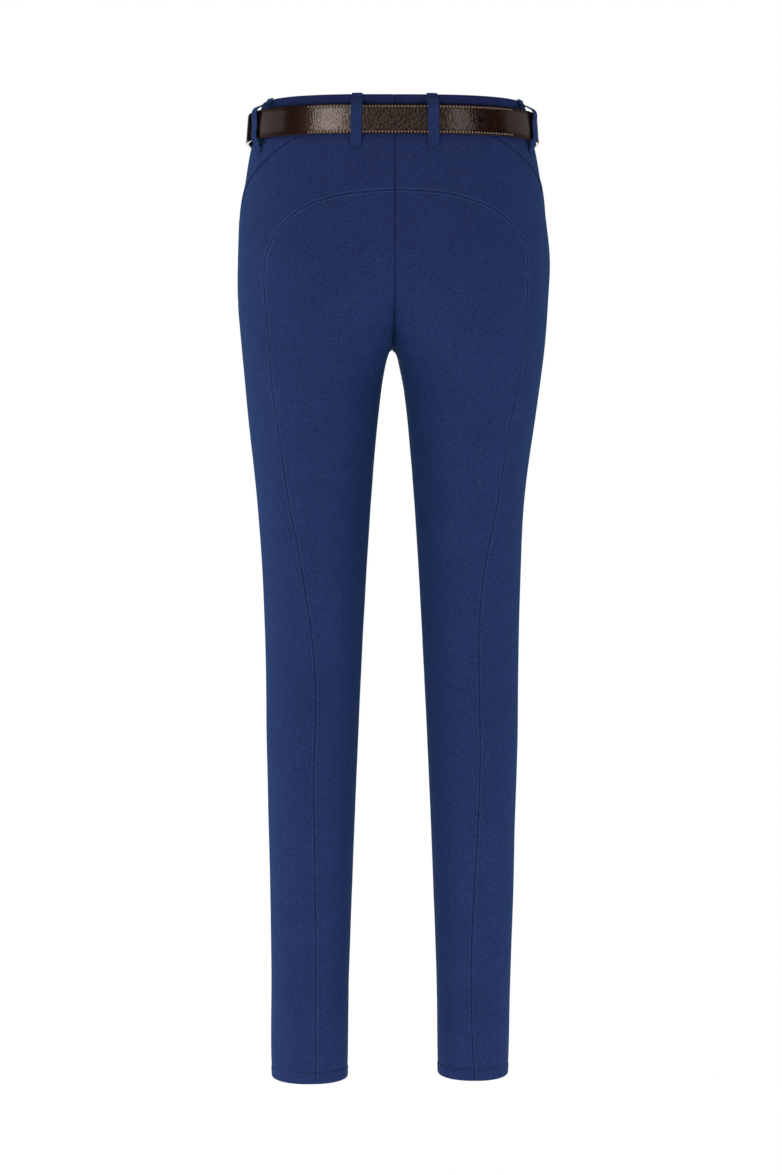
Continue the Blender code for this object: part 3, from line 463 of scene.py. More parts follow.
def makeLeather(name, colours, grainBump):
    look = leatherLook
    material, tree, shader, place = newMaterial(name, {
        "Roughness": look["roughness"], "IOR": 1.5, "Specular Tint": fromHex(look["gloss"]),
        "Coat Weight": look["coat"], "Coat Roughness": look["coatRoughness"],
    })
    warp = addNode(tree, "TexNoise", {"Scale": 420.0, "Detail": 1.0}, {"Vector": place})
    bent = addNode(tree, "Mix", {"data_type": "VECTOR", 0: 0.0012}, {4: place, 5: (warp, "Color")})
    pebbles = addNode(tree, "TexVoronoi", {
        "feature": "SMOOTH_F1", "Scale": 1 / (look["grain"] * mm), "Smoothness": 0.4,
    }, {"Vector": (bent, 1)})
    pores = addNode(tree, "TexNoise", {"Scale": 1 / (look["pore"] * mm), "Detail": 2.0}, {"Vector": place})
    clouds = addNode(tree, "TexNoise", {"Scale": 40.0, "Detail": 3.0}, {"Vector": place})
    grain = (addNode(tree, "Attribute", {"attribute_name": "grainAt"}), "Fac")
    tops = addNode(tree, "Math", {"operation": "SUBTRACT", 0: 0.38}, {1: pebbles})
    deep = addNode(tree, "Math", {"operation": "MULTIPLY"}, {0: tops, 1: grain})
    height = addNode(tree, "Math", {"operation": "MULTIPLY_ADD", 1: 0.45}, {0: pores, 2: tops})
    scaled = addNode(tree, "Math", {"operation": "MULTIPLY"}, {0: height, 1: grain})
    blend = addNode(tree, "Math", {"operation": "MULTIPLY_ADD", 1: 0.5}, {0: clouds, 2: pores})
    # Pebble tops lighter, valleys darker: random tone, with painted shade in the grain's valleys.
    mottle = addNode(tree, "Math", {"operation": "MULTIPLY_ADD", 1: 0.5}, {0: deep, 2: blend})
    ramp = addNode(tree, "MapRange", {"From Min": 0.36, "From Max": 1.06}, {"Value": mottle})
    bump = colourAndBump(tree, shader, colours, ramp, scaled, 0.85, grainBump)
    worn = addNode(tree, "Math", {"operation": "ADD"}, {0: deep, 1: pores})
    shine = addNode(tree, "Math", {
        "operation": "MULTIPLY_ADD", 1: look["polish"], 2: look["leastShine"],
    }, {0: worn})
    feed(tree, shader, {"Coat Normal": bump, "Specular IOR Level": shine})
    return material


# Nickel-plated steel, satin: fine brushing that spreads the gloss.
def makeSteel():
    material, tree, shader, place = newMaterial("satinNickelPlatedSteel", {
        "Base Color": fromHex("#b9b5ae"), "Metallic": 1.0, "Roughness": 0.32,
    })
    stretched = addNode(tree, "Mapping", {"Scale": (1.0, 1.0, 0.12)}, {"Vector": place})
    brushing = addNode(tree, "TexNoise", {"Scale": 2600.0, "Detail": 2.0}, {"Vector": stretched})
    rough = addNode(tree, "MapRange", {"To Min": 0.24, "To Max": 0.42}, {"Value": brushing})
    bump = addNode(tree, "Bump", {"Strength": 0.2, "Distance": 0.02 * mm}, {"Height": brushing})
    feed(tree, shader, {"Roughness": rough, "Normal": bump})
    return material


# Woven polyester zip tape: a flat rib weave, a little shinier than the twill.
def makeTape():
    material, tree, shader, place = newMaterial("wovenPolyesterTape", {
        "Roughness": 0.7, "IOR": 1.53, "Sheen Weight": 0.2,
    })
    wave = addNode(tree, "TexWave", {"bands_direction": "Z", "Scale": 220.0, "Distortion": 0.6},
                   {"Vector": place})
    ribs = (wave, "Fac")
    colourAndBump(tree, shader, ("#131a38", "#202a55"), ribs, ribs, 0.4, 0.15)
    return material


twill = makeTwill("wovenCottonTwill", twillLook["panel"])
loopTwill = makeTwill("wovenCottonTwillOfLoops", twillLook["loop"])
# The waistband gets a copy of the twill painted darker, as shade.
bandTwillPaintedShade = makeTwill("wovenCottonTwillOfBandPaintedShade", twillLook["band"])
clothThread, legThread, tonalThread, saddleThread, awlHoleShade = [makeThread(name) for name in threadLook]
leather = makeLeather("vegetableTannedLeather", leatherLook["face"], leatherLook["faceBump"])
leatherEdge = makeLeather("burnishedLeatherEdge", leatherLook["edge"], leatherLook["edgeBump"])
steel = makeSteel()
tape = makeTape()
print("materials made")


def newPiece(name, points, faces, material, replaced=(), sharp=60):
    mesh = bpy.data.meshes.new(name)
    mesh.from_pydata(np.asarray(points, float).tolist(), [], [list(map(int, face)) for face in faces])
    mesh.update()
    mesh.shade_smooth()
    mesh.set_sharp_from_angle(angle=math.radians(sharp))
    mesh.materials.append(material)
    piece = bpy.data.objects.new(name, mesh)
    bpy.context.scene.collection.objects.link(piece)
    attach(piece, "root")
    if replaced:
        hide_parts(*replaced)
    return piece


def setAttribute(piece, name, values):
    values = np.asarray(values, np.float32)
    vectors = values.ndim == 2
    attribute = piece.data.attributes.new(name, "FLOAT_VECTOR" if vectors else "FLOAT", "POINT")
    attribute.data.foreach_set("vector" if vectors else "value", values.ravel())


# Four-sided faces and many-sided caps of a closed piece, all turned round if they face inwards.
def facingOut(points, quads, caps=()):
    a, b, c, d = (points[quads[:, k]] for k in range(4))
    volume = np.sum(a * np.cross(b, c)) + np.sum(a * np.cross(c, d))
    for cap in caps:
        rim = points[cap]
        volume += np.sum(np.cross(rim[1:-1], rim[2:]) @ rim[0])
    step = 1 if volume > 0 else -1
    return [*quads[:, ::step], *[cap[::step] for cap in caps]]


# Faces of a closed wall between an outer grid of points and an inner one that comes after it.
def wallFaces(rows, columns):
    shift = rows * columns
    index = np.arange(shift).reshape(rows, columns)
    outer = np.stack([index[:-1, :-1], index[:-1, 1:], index[1:, 1:], index[1:, :-1]], axis=-1).reshape(-1, 4)
    edge = np.concatenate([index[0, :], index[1:, -1], index[-1, -2::-1], index[-2:0:-1, 0]])
    after = np.roll(edge, -1)
    sides = np.stack([after, edge, edge + shift, after + shift], axis=-1)
    return np.vstack([outer, outer[:, ::-1] + shift, sides])


# Faces of a tube whose rows of points each go round it: closed into a ring, or with a cap at each end.
def tubeFaces(points, ring=False):
    rows, columns = points.shape[:2]
    index = np.arange(rows * columns).reshape(rows, columns)
    here, following = (index, np.roll(index, -1, axis=0)) if ring else (index[:-1], index[1:])
    quads = np.stack([here, np.roll(here, -1, axis=1), np.roll(following, -1, axis=1), following], axis=-1)
    caps = [] if ring else [index[0][::-1], index[-1]]
    return facingOut(points.reshape(-1, 3), quads.reshape(-1, 4), caps)


def tubePiece(name, points, material, replaced=(), ring=False, sharp=50):
    return newPiece(name, points.reshape(-1, 3), tubeFaces(points, ring), material, replaced, sharp)


# Distance of points from a curve, and how far along it the nearest place is.
def fromCurve(points, curve):
    tree = KDTree(len(curve))
    for i, point in enumerate(curve):
        tree.insert(point, i)
    tree.balance()
    nearest = np.array([tree.find(point)[1] for point in points])
    along = lengthsAlong(curve)
    best = np.full(len(points), np.inf)
    place = np.zeros(len(points))
    for step in (-1, 0):
        i = np.clip(nearest + step, 0, len(curve) - 2)
        start, span = curve[i], curve[i + 1] - curve[i]
        share = np.sum((points - start) * span, axis=1) / np.maximum(np.sum(span * span, axis=1), 1e-18)
        t = np.clip(share, 0, 1)
        distance = np.linalg.norm(points - start - span * t[:, None], axis=1)
        closer = distance < best
        best = np.where(closer, distance, best)
        place = np.where(closer, along[i] + t * np.linalg.norm(span, axis=1), place)
    return best, place


# Smooth uneven values from -1 to 1 along a length, from a few waves in metres.
def waver(place, seed, waves):
    random = np.random.default_rng(seed)
    total = sum(np.sin(2 * math.pi * place / wave + random.uniform(0, 6.3)) for wave in waves)
    return total / len(waves)


# Gentle unevenness of the cloth over the whole piece.
def unevenness(points, seed, wave):
    random = np.random.default_rng(seed)
    total = np.zeros(points.shape[:-1])
    for _ in range(10):
        direction = unit(random.normal(size=3)) * 2 * math.pi / (wave * random.uniform(0.6, 1.6))
        total += np.sin(points @ direction + random.uniform(0, 6.3))
    return total / 10


# Seams in millimetres: rolls are (height, distance from the seam, breadth); a plateau is the
# doubled cloth of a lap as (height, how far it reaches, how softly it ends).
seamLook = {
    "plain": {"rolls": ((-0.80, 0, 0.35), (-0.12, 0, 2.2)), "pucker": 0.06},
    "centre": {"rolls": ((-1.60, 0, 0.48), (-0.08, 0, 1.8)), "pucker": 0.03},
    "twin": {
        "rolls": ((-0.85, 0, 0.28), (0.14, 1.0, 0.5), (-0.16, 1.95, 0.4), (0.08, 3.4, 1.4)),
        "pucker": 0.07,
    },
    "over": {
        "rolls": ((-0.30, 0, 0.3), (-0.26, 6.0, 0.5), (0.10, 8.0, 1.5)),
        "plateau": (1.00, 5.4, 1.9),
        "pucker": 0.08,
    },
    "under": {"rolls": ((-1.20, 0, 0.5), (-0.18, 0, 2.2)), "pucker": 0.05},
    "waist": {"rolls": ((-0.6, 0, 0.5),), "pucker": 0.07},
    "edge": {"rolls": ((-0.35, 0, 0.35), (-0.80, 1.35, 0.34)), "pucker": 0.0},
    "pressed": {"rolls": ((-2.0, 0, 0.9),), "pucker": 0.0},
}
# Puckers beside a seam: waves along it in metres, and their height and place beside it in millimetres.
puckerLook = {
    "ripples": (0.0091, 0.0127, 0.0183, 0.031),
    "swells": (0.045, 0.083, 0.13),
    "uneven": 0.6,
    "rise": 2.2,
    "beside": 2.5,
    "breadth": 3.8,
}
# The cloth's own relief in millimetres, and then where it starts and fades in metres.
clothLook = {
    "uneven": 0.22,
    "hemRise": 0.45,
    "hemFade": 1.6,
    "hemGroove": 1.0,
    "hemGrooveBreadth": 0.8,
    "hemEdge": 0.7,
    "hemEdgeBreadth": 0.7,
    "unevenWave": 0.045,
    "calmAtCrotch": 0.016,  # the seams run out this near the crotch
    "dropBehind": 0.011,  # the hem hangs lower from here back
    "dropReach": 0.045,
    "dropHeight": 0.06,
}
# How many points each row of a panel has between its edges, and the seed of its unevenness.
panelLook = {
    "front": {"middle": 58, "seed": 11},
    "back": {"middle": 38, "seed": 23},
    "seat": {"middle": 34, "seed": 37},
    "waistband": {"middle": 110, "seed": 51},
}


def seamRelief(distance, along, kind, seed):
    look = seamLook[kind]
    d = distance / mm
    total = np.zeros_like(d)
    for height, centre, breadth in look["rolls"]:
        total += height * hump(d, centre, breadth)
    if "plateau" in look:
        height, reach, softness = look["plateau"]
        total += height * (1 - ease((d - reach) / softness))
    ripple = waver(along, seed, puckerLook["ripples"])
    strength = 1 + puckerLook["uneven"] * waver(along, seed + 50, puckerLook["swells"])
    beside = hump(d, puckerLook["beside"], puckerLook["breadth"])
    total += look["pucker"] * puckerLook["rise"] * ripple * strength * beside
    return total * mm


edgeSteps = np.array([0.0, 0.35, 0.75, 1.2, 1.75, 2.4, 3.1, 4.2, 5.6, 7.2]) * mm


# Places on each row, close together by both edges and even between them.
def rowPlaces(side, starts, ends, middleCount):
    fractions = np.linspace(0, 1, 65)
    span = ends - starts
    s = starts[:, :1] + span[:, :1] * fractions
    z = starts[:, 1:] + span[:, 1:] * fractions
    points, _ = surfaceAt(side, s, z)
    rows, reach = [], []
    for length in lengthsAlong(points):
        total = length[-1]
        near = edgeSteps * min(1.0, total / (2.6 * edgeSteps[-1]))
        middle = np.linspace(near[-1], total - near[-1], middleCount + 2)[1:-1]
        at = np.concatenate([near, middle, (total - near)[::-1]])
        rows.append(np.interp(at, length, fractions) if total > 1e-7 else np.linspace(0, 1, len(at)))
        reach.append(at)
    rows = np.array(rows)
    return starts[:, :1] + span[:, :1] * rows, starts[:, 1:] + span[:, 1:] * rows, np.array(reach)


# How far the cloth near the hem hangs down behind the ankle.
def hemDropAt(points, side):
    above = points[:, 2] - garment["hem"][side]
    behind = np.clip((points[:, 1] - clothLook["dropBehind"]) / clothLook["dropReach"], 0, 1)
    return garment["hemDrop"] * (1 - ease(above / clothLook["dropHeight"])) * behind**2


clothSkins = []  # outer skins of the cloth, which the stitches lie on


# A cloth piece between pairs of places, with its seams pressed into it.
def clothPiece(kind, side, starts, ends, seams):
    look = panelLook[kind]
    hasHem = kind != "waistband"
    s, z, reach = rowPlaces(side, np.array(starts), np.array(ends), look["middle"])
    base, normals = surfaceAt(side, s, z)
    flat, normals = base.reshape(-1, 3), normals.reshape(-1, 3)
    relief = unevenness(flat, look["seed"], clothLook["unevenWave"]) * clothLook["uneven"] * mm
    fromCrotch = np.hypot(flat[:, 0], flat[:, 2] - garment["crotch"])
    for seam, curve in seams:
        distance, along = fromCurve(flat, curve)
        calm = ease(fromCrotch / clothLook["calmAtCrotch"])
        if seam in ("plain", "centre"):
            calm = calm * np.where(flat[:, 2] < garment["crotch"], 0.5, 1.0)
        relief += seamRelief(distance, along, seam, look["seed"] + len(curve)) * calm
    thickness = np.full(len(flat), garment["cloth" if hasHem else "waistbandWall"])
    if hasHem:
        above = flat[:, 2] - garment["hem"][side]
        overTurn = (above - garment["hemTurn"]) / mm
        turned = 1 - ease(overTurn / clothLook["hemFade"])
        relief += turned * clothLook["hemRise"] * mm
        relief -= clothLook["hemGroove"] * mm * hump(overTurn, 0, clothLook["hemGrooveBreadth"])
        relief -= clothLook["hemEdge"] * mm * hump(above / mm, 0, clothLook["hemEdgeBreadth"])
        thickness = thickness + turned * (garment["hemWall"] - garment["cloth"])
    outer = flat + normals * relief[:, None]
    points = np.vstack([outer, outer - normals * thickness[:, None]])
    sign = 1 if side == "left" else -1
    points[:, 0] = sign * np.maximum(sign * points[:, 0], 0.0)
    if hasHem:
        points[:, 2] -= hemDropAt(points, side)
    rows, columns = s.shape
    faces = facingOut(points, wallFaces(rows, columns))
    # the waistband's twill copy is painted darker, as shade
    material = twill if hasHem else bandTwillPaintedShade
    piece = newPiece(kind + "_cloth_" + side, points, faces, material, (kind + "_" + side,))
    weave = np.stack([reach.ravel(), flat[:, 2], np.zeros(len(flat))], axis=1)
    setAttribute(piece, "weaveAt", np.vstack([weave, weave]))
    clothSkins.append((points[:len(flat)], np.array(faces[:(rows - 1) * (columns - 1)])))
    return piece


def legRowHeights(side):
    crotch, hem, turn = garment["crotch"], garment["hem"][side], garment["hemTurn"]
    above = spread(garment["seatFoot"], crotch + 0.0125, 0.0034)[1:]
    nearCrotch = np.array([9.6, 7.2, 5.2, 3.6, 2.4, 1.5, 0.8, 0.35, 0.1]) * mm
    close = np.concatenate([crotch + nearCrotch, [crotch], crotch - nearCrotch[::-1]])
    even = spread(close[-1], hem + turn + 2.4 * mm, 0.0034)[1:]
    foot = hem + np.array([13.6, 12.8, 12.0, 11.2, 10.2, 7.6, 5.2, 3.2, 1.8, 1.0, 0.4, 0.0]) * mm
    return np.concatenate([above, close, even, foot])


def curveOn(side, places):
    places = np.array(places)
    return surfaceAt(side, places[:, 0], places[:, 1])[0]


def makeSeamCurves(side):
    seatFoot, waistSeam, hem = garment["seatFoot"], garment["waistSeam"], garment["hem"][side]
    arc = [arcPlace(side, t) for t in np.linspace(0, 10, 300)]
    rise = spread(waistSeam, hem, 0.0005)
    return {
        "side": curveOn(side, [(sideSeam(side, z), z) for z in spread(waistSeam, hem, 0.0008)]),
        "seat": curveOn(side, arc + [(legSeam(side, z), z) for z in spread(seatFoot, hem, 0.0008)[1:]]),
        "back": curveOn(side, [(1.0, z) for z in rise]),
        "front": curveOn(side, [(-1.0, z) for z in rise]),
        "waist": curveOn(side, [(s, waistSeam) for s in np.linspace(-1, 1, 800)]),
    }


seamCurves = {side: makeSeamCurves(side) for side in ("left", "right")}


def makeFront(side):
    heights = np.concatenate([spread(garment["waistSeam"], garment["seatFoot"], 0.0034), legRowHeights(side)])
    starts = [(-1.0, z) for z in heights]
    ends = [(sideSeam(side, z), z) for z in heights]
    curves = seamCurves[side]
    seams = (("plain", curves["front"]), ("over", curves["side"]), ("waist", curves["waist"]))
    return clothPiece("front", side, starts, ends, seams)


def makeBack(side):
    upper = np.concatenate([np.linspace(0, 2, 19), np.linspace(2, 12, 57)[1:]])
    hip = np.interp(upper, np.arange(13), np.array(hipRungs)) * mm
    arcTop = seatArcRows[0][2] * mm
    starts = [(sideSeam(side, z), z) for z in hip]
    ends = []
    for t in upper:
        middle = np.interp(t, (0, 2), (garment["waistSeam"], arcTop))
        ends.append((1.0, middle) if t <= 2 else arcPlace(side, t - 2))
    lower = legRowHeights(side)
    starts += [(sideSeam(side, z), z) for z in lower]
    ends += [(legSeam(side, z), z) for z in lower]
    curves = seamCurves[side]
    upperBack = curves["back"][curves["back"][:, 2] > arcTop]
    seams = (
        ("under", curves["side"]), ("twin", curves["seat"]),
        ("centre", upperBack), ("waist", curves["waist"]),
    )
    return clothPiece("back", side, starts, ends, seams)


def makeSeat(side):
    upper = np.linspace(0, 10, 57)
    upper[0] = 0.02  # the piece starts in a point at the centre back
    starts = [arcPlace(side, t) for t in upper]
    ends = [(1.0, z) for z in np.interp(upper, np.arange(11), np.array(seatRungs)) * mm]
    lower = legRowHeights(side)
    starts += [(legSeam(side, z), z) for z in lower]
    ends += [(1.0, z) for z in lower]
    curves = seamCurves[side]
    return clothPiece("seat", side, starts, ends, (("twin", curves["seat"]), ("centre", curves["back"])))


beltTop = 0.0166  # the height at which the belt's top edge presses into the waistband


def makeWaistband(side):
    low, top = garment["waistSeam"], garment["waistTop"]
    heights = np.concatenate([
        low + np.array([0, 0.4, 0.9, 1.6, 2.6]) * mm,
        spread(low + 0.0045, 0.0132, 0.003),
        np.array([14.2, 15.0, 15.6, 16.1, 16.6, 17.1, 17.6, 18.2, 19.2, 21.0, 23.0]) * mm,
        top - np.array([2.6, 2.1, 1.75, 1.4, 1.1, 0.8, 0.5, 0.25, 0.1, 0.0]) * mm,
    ])
    starts = [(-1.0, z) for z in heights]
    ends = [(1.0, z) for z in heights]
    topEdge, beltEdge = (curveOn(side, [(s, z) for s in np.linspace(-1, 1, 800)]) for z in (top, beltTop))
    centre = curveOn(side, [(1.0, z) for z in spread(low, top, 0.0005)])
    seams = (
        ("waist", seamCurves[side]["waist"]), ("edge", topEdge),
        ("pressed", beltEdge), ("centre", centre),
    )
    return clothPiece("waistband", side, starts, ends, seams)


panelMakers = {"front": makeFront, "back": makeBack, "seat": makeSeat, "waistband": makeWaistband}
for side in ("left", "right"):
    for kind, makePanel in panelMakers.items():
        makePanel(side)
    print("cloth made:", side)


def treeOf(skins):
    points, faces, count = [], [], 0
    for skinPoints, skinFaces in skins:
        points.extend(skinPoints.tolist())
        faces.extend((skinFaces + count).tolist())
        count += len(skinPoints)
    return BVHTree.FromPolygons(points, faces)


clothTree = treeOf(clothSkins)

# Stitches in millimetres, as short round-ended threads that arch between the holes they go down in.
stitchLook = {
    "length": 1.6, "gap": 0.75, "radius": 0.30, "arch": 0.10, "sunk": 0.16, "fromSeam": 1.95,
    "sideOffset": 6.0,
    "tonalRadius": 0.34,
    "uneven": 0.06,
    "corners": 5,
}
# Along a stitch: the place, the thickness there and how far it stands off the cloth.
stitchCourse = (
    (0.0, 0.45, -stitchLook["sunk"]), (0.25, 1.0, 0.6 * stitchLook["arch"]),
    (0.75, 1.0, 0.6 * stitchLook["arch"]), (1.0, 0.45, -stitchLook["sunk"]),
)
stitchLength = stitchLook["length"] * mm
stitchPitch = (stitchLook["length"] + stitchLook["gap"]) * mm


def stitchMesh(name, starts, ends, ups, material, slotName="cloth", radius=stitchLook["radius"]):
    count, corners = len(starts), stitchLook["corners"]
    ahead = unit(ends - starts)
    ups = unit(ups - ahead * np.sum(ups * ahead, axis=1, keepdims=True))
    beside = np.cross(ahead, ups)
    rings = []
    for t, size, lift in stitchCourse:
        centre = starts + (ends - starts) * t + ups * lift * mm
        for k in range(corners):
            angle = 2 * math.pi * (k + 0.5) / corners
            rings.append(centre + (beside * math.cos(angle) + ups * math.sin(angle)) * (radius * mm) * size)
    points = np.stack(rings, axis=1).reshape(-1, 3)
    one = []
    for ring in range(len(stitchCourse) - 1):
        for k in range(corners):
            a, b = ring * corners + k, ring * corners + (k + 1) % corners
            one.append((a, a + corners, b + corners, b))
    each = len(stitchCourse) * corners
    faces = [[v + i * each for v in face] for i in range(count) for face in one]
    faces += [[i * each + k for k in range(corners)] for i in range(count)]
    faces += [[(i + 1) * each - corners + k for k in range(corners - 1, -1, -1)] for i in range(count)]
    return newPiece(name, points, faces, material, sharp=80)


def snapped(points, tree):
    found = [tree.find_nearest(point) for point in points.tolist()]
    return np.array([hit[0] for hit in found]), np.array([hit[1] for hit in found])


# A row of stitches beside a curve, at an offset in millimetres to one side of it: their starts, ends and ups.
def stitchesBeside(curve, normals, offset, start, seed):
    beside = unit(np.cross(normals, unit(np.gradient(curve, axis=0)))) * offset * mm
    line = curve + beside
    along = lengthsAlong(line)
    first = np.interp(start, lengthsAlong(curve), along)
    random = np.random.default_rng(seed)
    begins = np.arange(first + 0.5 * stitchPitch, along[-1] - stitchPitch, stitchPitch)
    begins = begins + random.uniform(-stitchLook["uneven"], stitchLook["uneven"], len(begins)) * mm
    starts, ups = snapped(placesAlong(begins, along, line), clothTree)
    ends, _ = snapped(placesAlong(begins + stitchLength, along, line), clothTree)
    return starts, ends, ups


def joinedRows(rows):
    return [np.vstack([row[k] for row in rows]) for k in range(3)]


def seamPlaces(side, name):
    hem = garment["hem"][side]
    if name == "seat":
        places = [arcPlace(side, t) for t in np.linspace(0, 10, 180)]
        places += [(legSeam(side, z), z) for z in spread(garment["seatFoot"], hem + 0.001, 0.0012)[1:]]
    elif name == "side":
        places = [(sideSeam(side, z), z) for z in spread(-0.0125, hem + 0.001, 0.0012)]
    else:
        places = [(s, hem + garment["hemTurn"] - 0.0002) for s in np.linspace(-1, 1, 400)]
    places = np.array(places)
    points, normals = surfaceAt(side, places[:, 0], places[:, 1])
    points[:, 2] -= hemDropAt(points, side)
    return points, normals


def sewPanels(side):
    curve, normals = seamPlaces(side, "seat")
    fromSeam = stitchLook["fromSeam"]
    twin = [stitchesBeside(curve, normals, offset, 0.0005, 3) for offset in (fromSeam, -fromSeam)]
    starts, ends, ups = joinedRows(twin)
    onArc = starts[:, 2] > garment["seatFoot"]
    for name, part, thread in (
        ("seat_topstitching_", onArc, clothThread), ("leg_topstitching_", ~onArc, legThread),
    ):
        stitchMesh(name + side, starts[part], ends[part], ups[part], thread)
    curve, normals = seamPlaces(side, "side")
    forwards = -stitchLook["sideOffset"] if side == "left" else stitchLook["sideOffset"]
    row = stitchesBeside(curve, normals, forwards, 0.001, 5)
    stitchMesh("side_topstitching_" + side, *row, tonalThread)
    row = stitchesBeside(*seamPlaces(side, "hem"), 0.0, 0.0, 7)
    stitchMesh("hem_stitching_" + side, *row, tonalThread, radius=stitchLook["tonalRadius"])


for side in ("left", "right"):
    sewPanels(side)
print("topstitching made")

# The belt: metres in its form, which is the same as the solids', and millimetres in its stitching.
belt = {
    "height": 0.030,
    "wall": 0.0034,
    "halfWidth": 0.1514,
    "front": 0.1046,
    "back": 0.1056,
    "crown": 0.21,
    "lean": 0.0022,
    "barAcross": 0.020,
    "start": 0.003,
    "freeEnd": 0.105,
    "freeEndAtBar": 0.0052,
    "freeEndOffset": 0.0038,
    "tip": 0.014,
    "plainFrom": {"left": 0.079, "right": 0.108},  # beyond this far across, the stitching sinks away
    "plainOver": 0.014,
    "stitchFrom": 0.046,  # metres from the bar, and from the tip to where the rows stop
    "stitchTo": 0.020,
    "stitchInset": 2.1,
    "stitchPitch": 3.3,
    "stitchSlant": 0.85,
    "stitchLength": 0.52,  # shares of the pitch: a stitch, then the painted shade of its awl hole from and to
    "holeFrom": 0.58,
    "holeTo": 0.96,
    "holeSlant": 1.3,  # times the stitch's slant
    "stitchRadius": 0.66,
    "stitchSunk": 0.35,  # how far the rows sink where the strap is plain
    "stitchHidden": 0.93,  # how plain it is where they end
    "holeRadius": 0.64,
    "holeLift": 0.10,
}
buckle = {
    "length": 0.036,
    "halfHeight": 0.0176,
    "rod": 0.0019,
    "farCorner": 0.0060,
    "barCorner": 0.0022,
    "overStrap": 0.0009,
    "barOffset": -0.0015,
    "eyeWall": 0.0016,
    "eyeHalves": ((0.0020, 0.0148), (-0.0148, -0.0020)),
    "prongRod": 0.0012,
    "prongTip": 0.0024,  # the length over which it tapers
    "keeperFromBar": 0.030,
    "keeperWidth": 0.011,
    "keeperWall": 0.0015,
    "keeperCorner": 0.0009,
    "gap": 0.0003,
}


def makeBeltRing():
    def half(depth):
        crown = belt["crown"] * belt["halfWidth"]
        return quarterPoints(belt["halfWidth"], 0.0, 0.0, crown, depth, 0.0, 0.0)[0]

    front, back = half(belt["front"]), half(belt["back"])
    x = np.concatenate([front[::-1, 0], back[1:, 0], -back[::-1, 0][1:], -front[1:-1, 0]])
    y = np.concatenate([-front[::-1, 1], back[1:, 1], back[::-1, 1][1:], -front[1:-1, 1]])
    start = np.argmin(np.abs(x - belt["barAcross"]) + 10 * (y > 0))
    points = np.roll(np.column_stack([x, y]), -start, axis=0)
    points = np.vstack([points, points[:1]])
    return points, lengthsAlong(points)


ringPoints, ringLengths = makeBeltRing()
beltRound = ringLengths[-1]


def onRing(distance):
    return placesAlong(np.mod(distance, beltRound), ringLengths, ringPoints)


# Points of the belt at distances round from the bar, moved out by an offset.
def beltPlace(distance, offset, z):
    distance, offset, z = np.broadcast_arrays(*[np.asarray(v, float) for v in (distance, offset, z)])
    here = onRing(distance)
    ahead = unit(onRing(distance + 0.004) - onRing(distance - 0.004))
    out = np.stack([ahead[..., 1], -ahead[..., 0]], axis=-1)
    lean = belt["lean"] * (here[..., 0] / belt["halfWidth"]) ** 2
    moved = here + out * (offset - lean * z / belt["height"])[..., None]
    return np.concatenate([moved, z[..., None]], axis=-1)


# The free end rises over the bar's side of the strap, then settles on it.
def strapOffset(distance):
    past = distance - beltRound
    overBar = belt["freeEndAtBar"] * ease((past + 0.042) / 0.034)
    return overBar - (belt["freeEndAtBar"] - belt["freeEndOffset"]) * ease((past - 0.008) / 0.016)


# Half the strap's outline from its edge to its middle, in millimetres: height of the place and of the
# face there, with the sunk channel of the stitching. The back is plain.
strapFace = (
    (15.0, 0.70), (14.95, 1.10), (14.75, 1.42), (14.4, 1.60), (13.9, 1.68), (13.5, 1.60), (13.15, 1.47),
    (12.9, 1.43), (12.65, 1.47), (12.3, 1.62), (11.95, 1.69), (11.6, 1.66), (11.3, 1.58), (11.0, 1.66),
    (10.4, 1.70), (8.0, 1.71), (5.4, 1.72), (2.7, 1.72),
)
strapBack = ((14.95, -1.10), (14.6, -1.45), (13.6, -1.68), (9.0, -1.70), (4.5, -1.70))
strapEdge = 14.5  # what is further from the middle than this is the painted edge
strapChannel = 1.46


def strapLoop():
    outer = [(-z, out) for z, out in strapFace] + [(0.0, 1.72)] + [(z, out) for z, out in reversed(strapFace)]
    back = [(z, out) for z, out in strapBack] + [(0.0, -1.70)] + [(-z, out) for z, out in reversed(strapBack)]
    return np.array(outer + back)


# From 0 where the strap is grained and stitched to 1 where it is smooth.
def plainness(x):
    start = np.where(x > 0, belt["plainFrom"]["left"], belt["plainFrom"]["right"])
    return ease((np.abs(x) - start) / belt["plainOver"])


def makeStrap():
    last = beltRound + belt["freeEnd"]
    tipAngles = np.radians(np.linspace(8, 84, 12))
    around = np.concatenate([
        spread(belt["start"], beltRound - 0.045, 0.0024),
        spread(beltRound - 0.043, last - belt["tip"], 0.0022),
    ])
    distances = np.concatenate([around, last - belt["tip"] * (1 - np.sin(tipAngles))])
    shares = np.concatenate([np.ones(len(around)), np.cos(tipAngles)])
    loop = strapLoop()
    offsets = strapOffset(distances)[:, None] + loop[:, 1] * mm
    points = beltPlace(distances[:, None], offsets, loop[:, 0] * mm * shares[:, None])
    strap = tubePiece("belt_strap_leather", points, leather, ("belt_strap",))
    strap.data.materials.append(leatherEdge)
    onEdge = np.abs(loop[:, 0]) > strapEdge
    edgeFaces = np.tile(onEdge & np.roll(onEdge, -1), len(distances) - 1)
    slots = np.concatenate([edgeFaces, [False, False]]).astype(np.int32)
    strap.data.polygons.foreach_set("material_index", slots)
    setAttribute(strap, "grainAt", 1.0 - 0.8 * plainness(points[..., 0].ravel()))
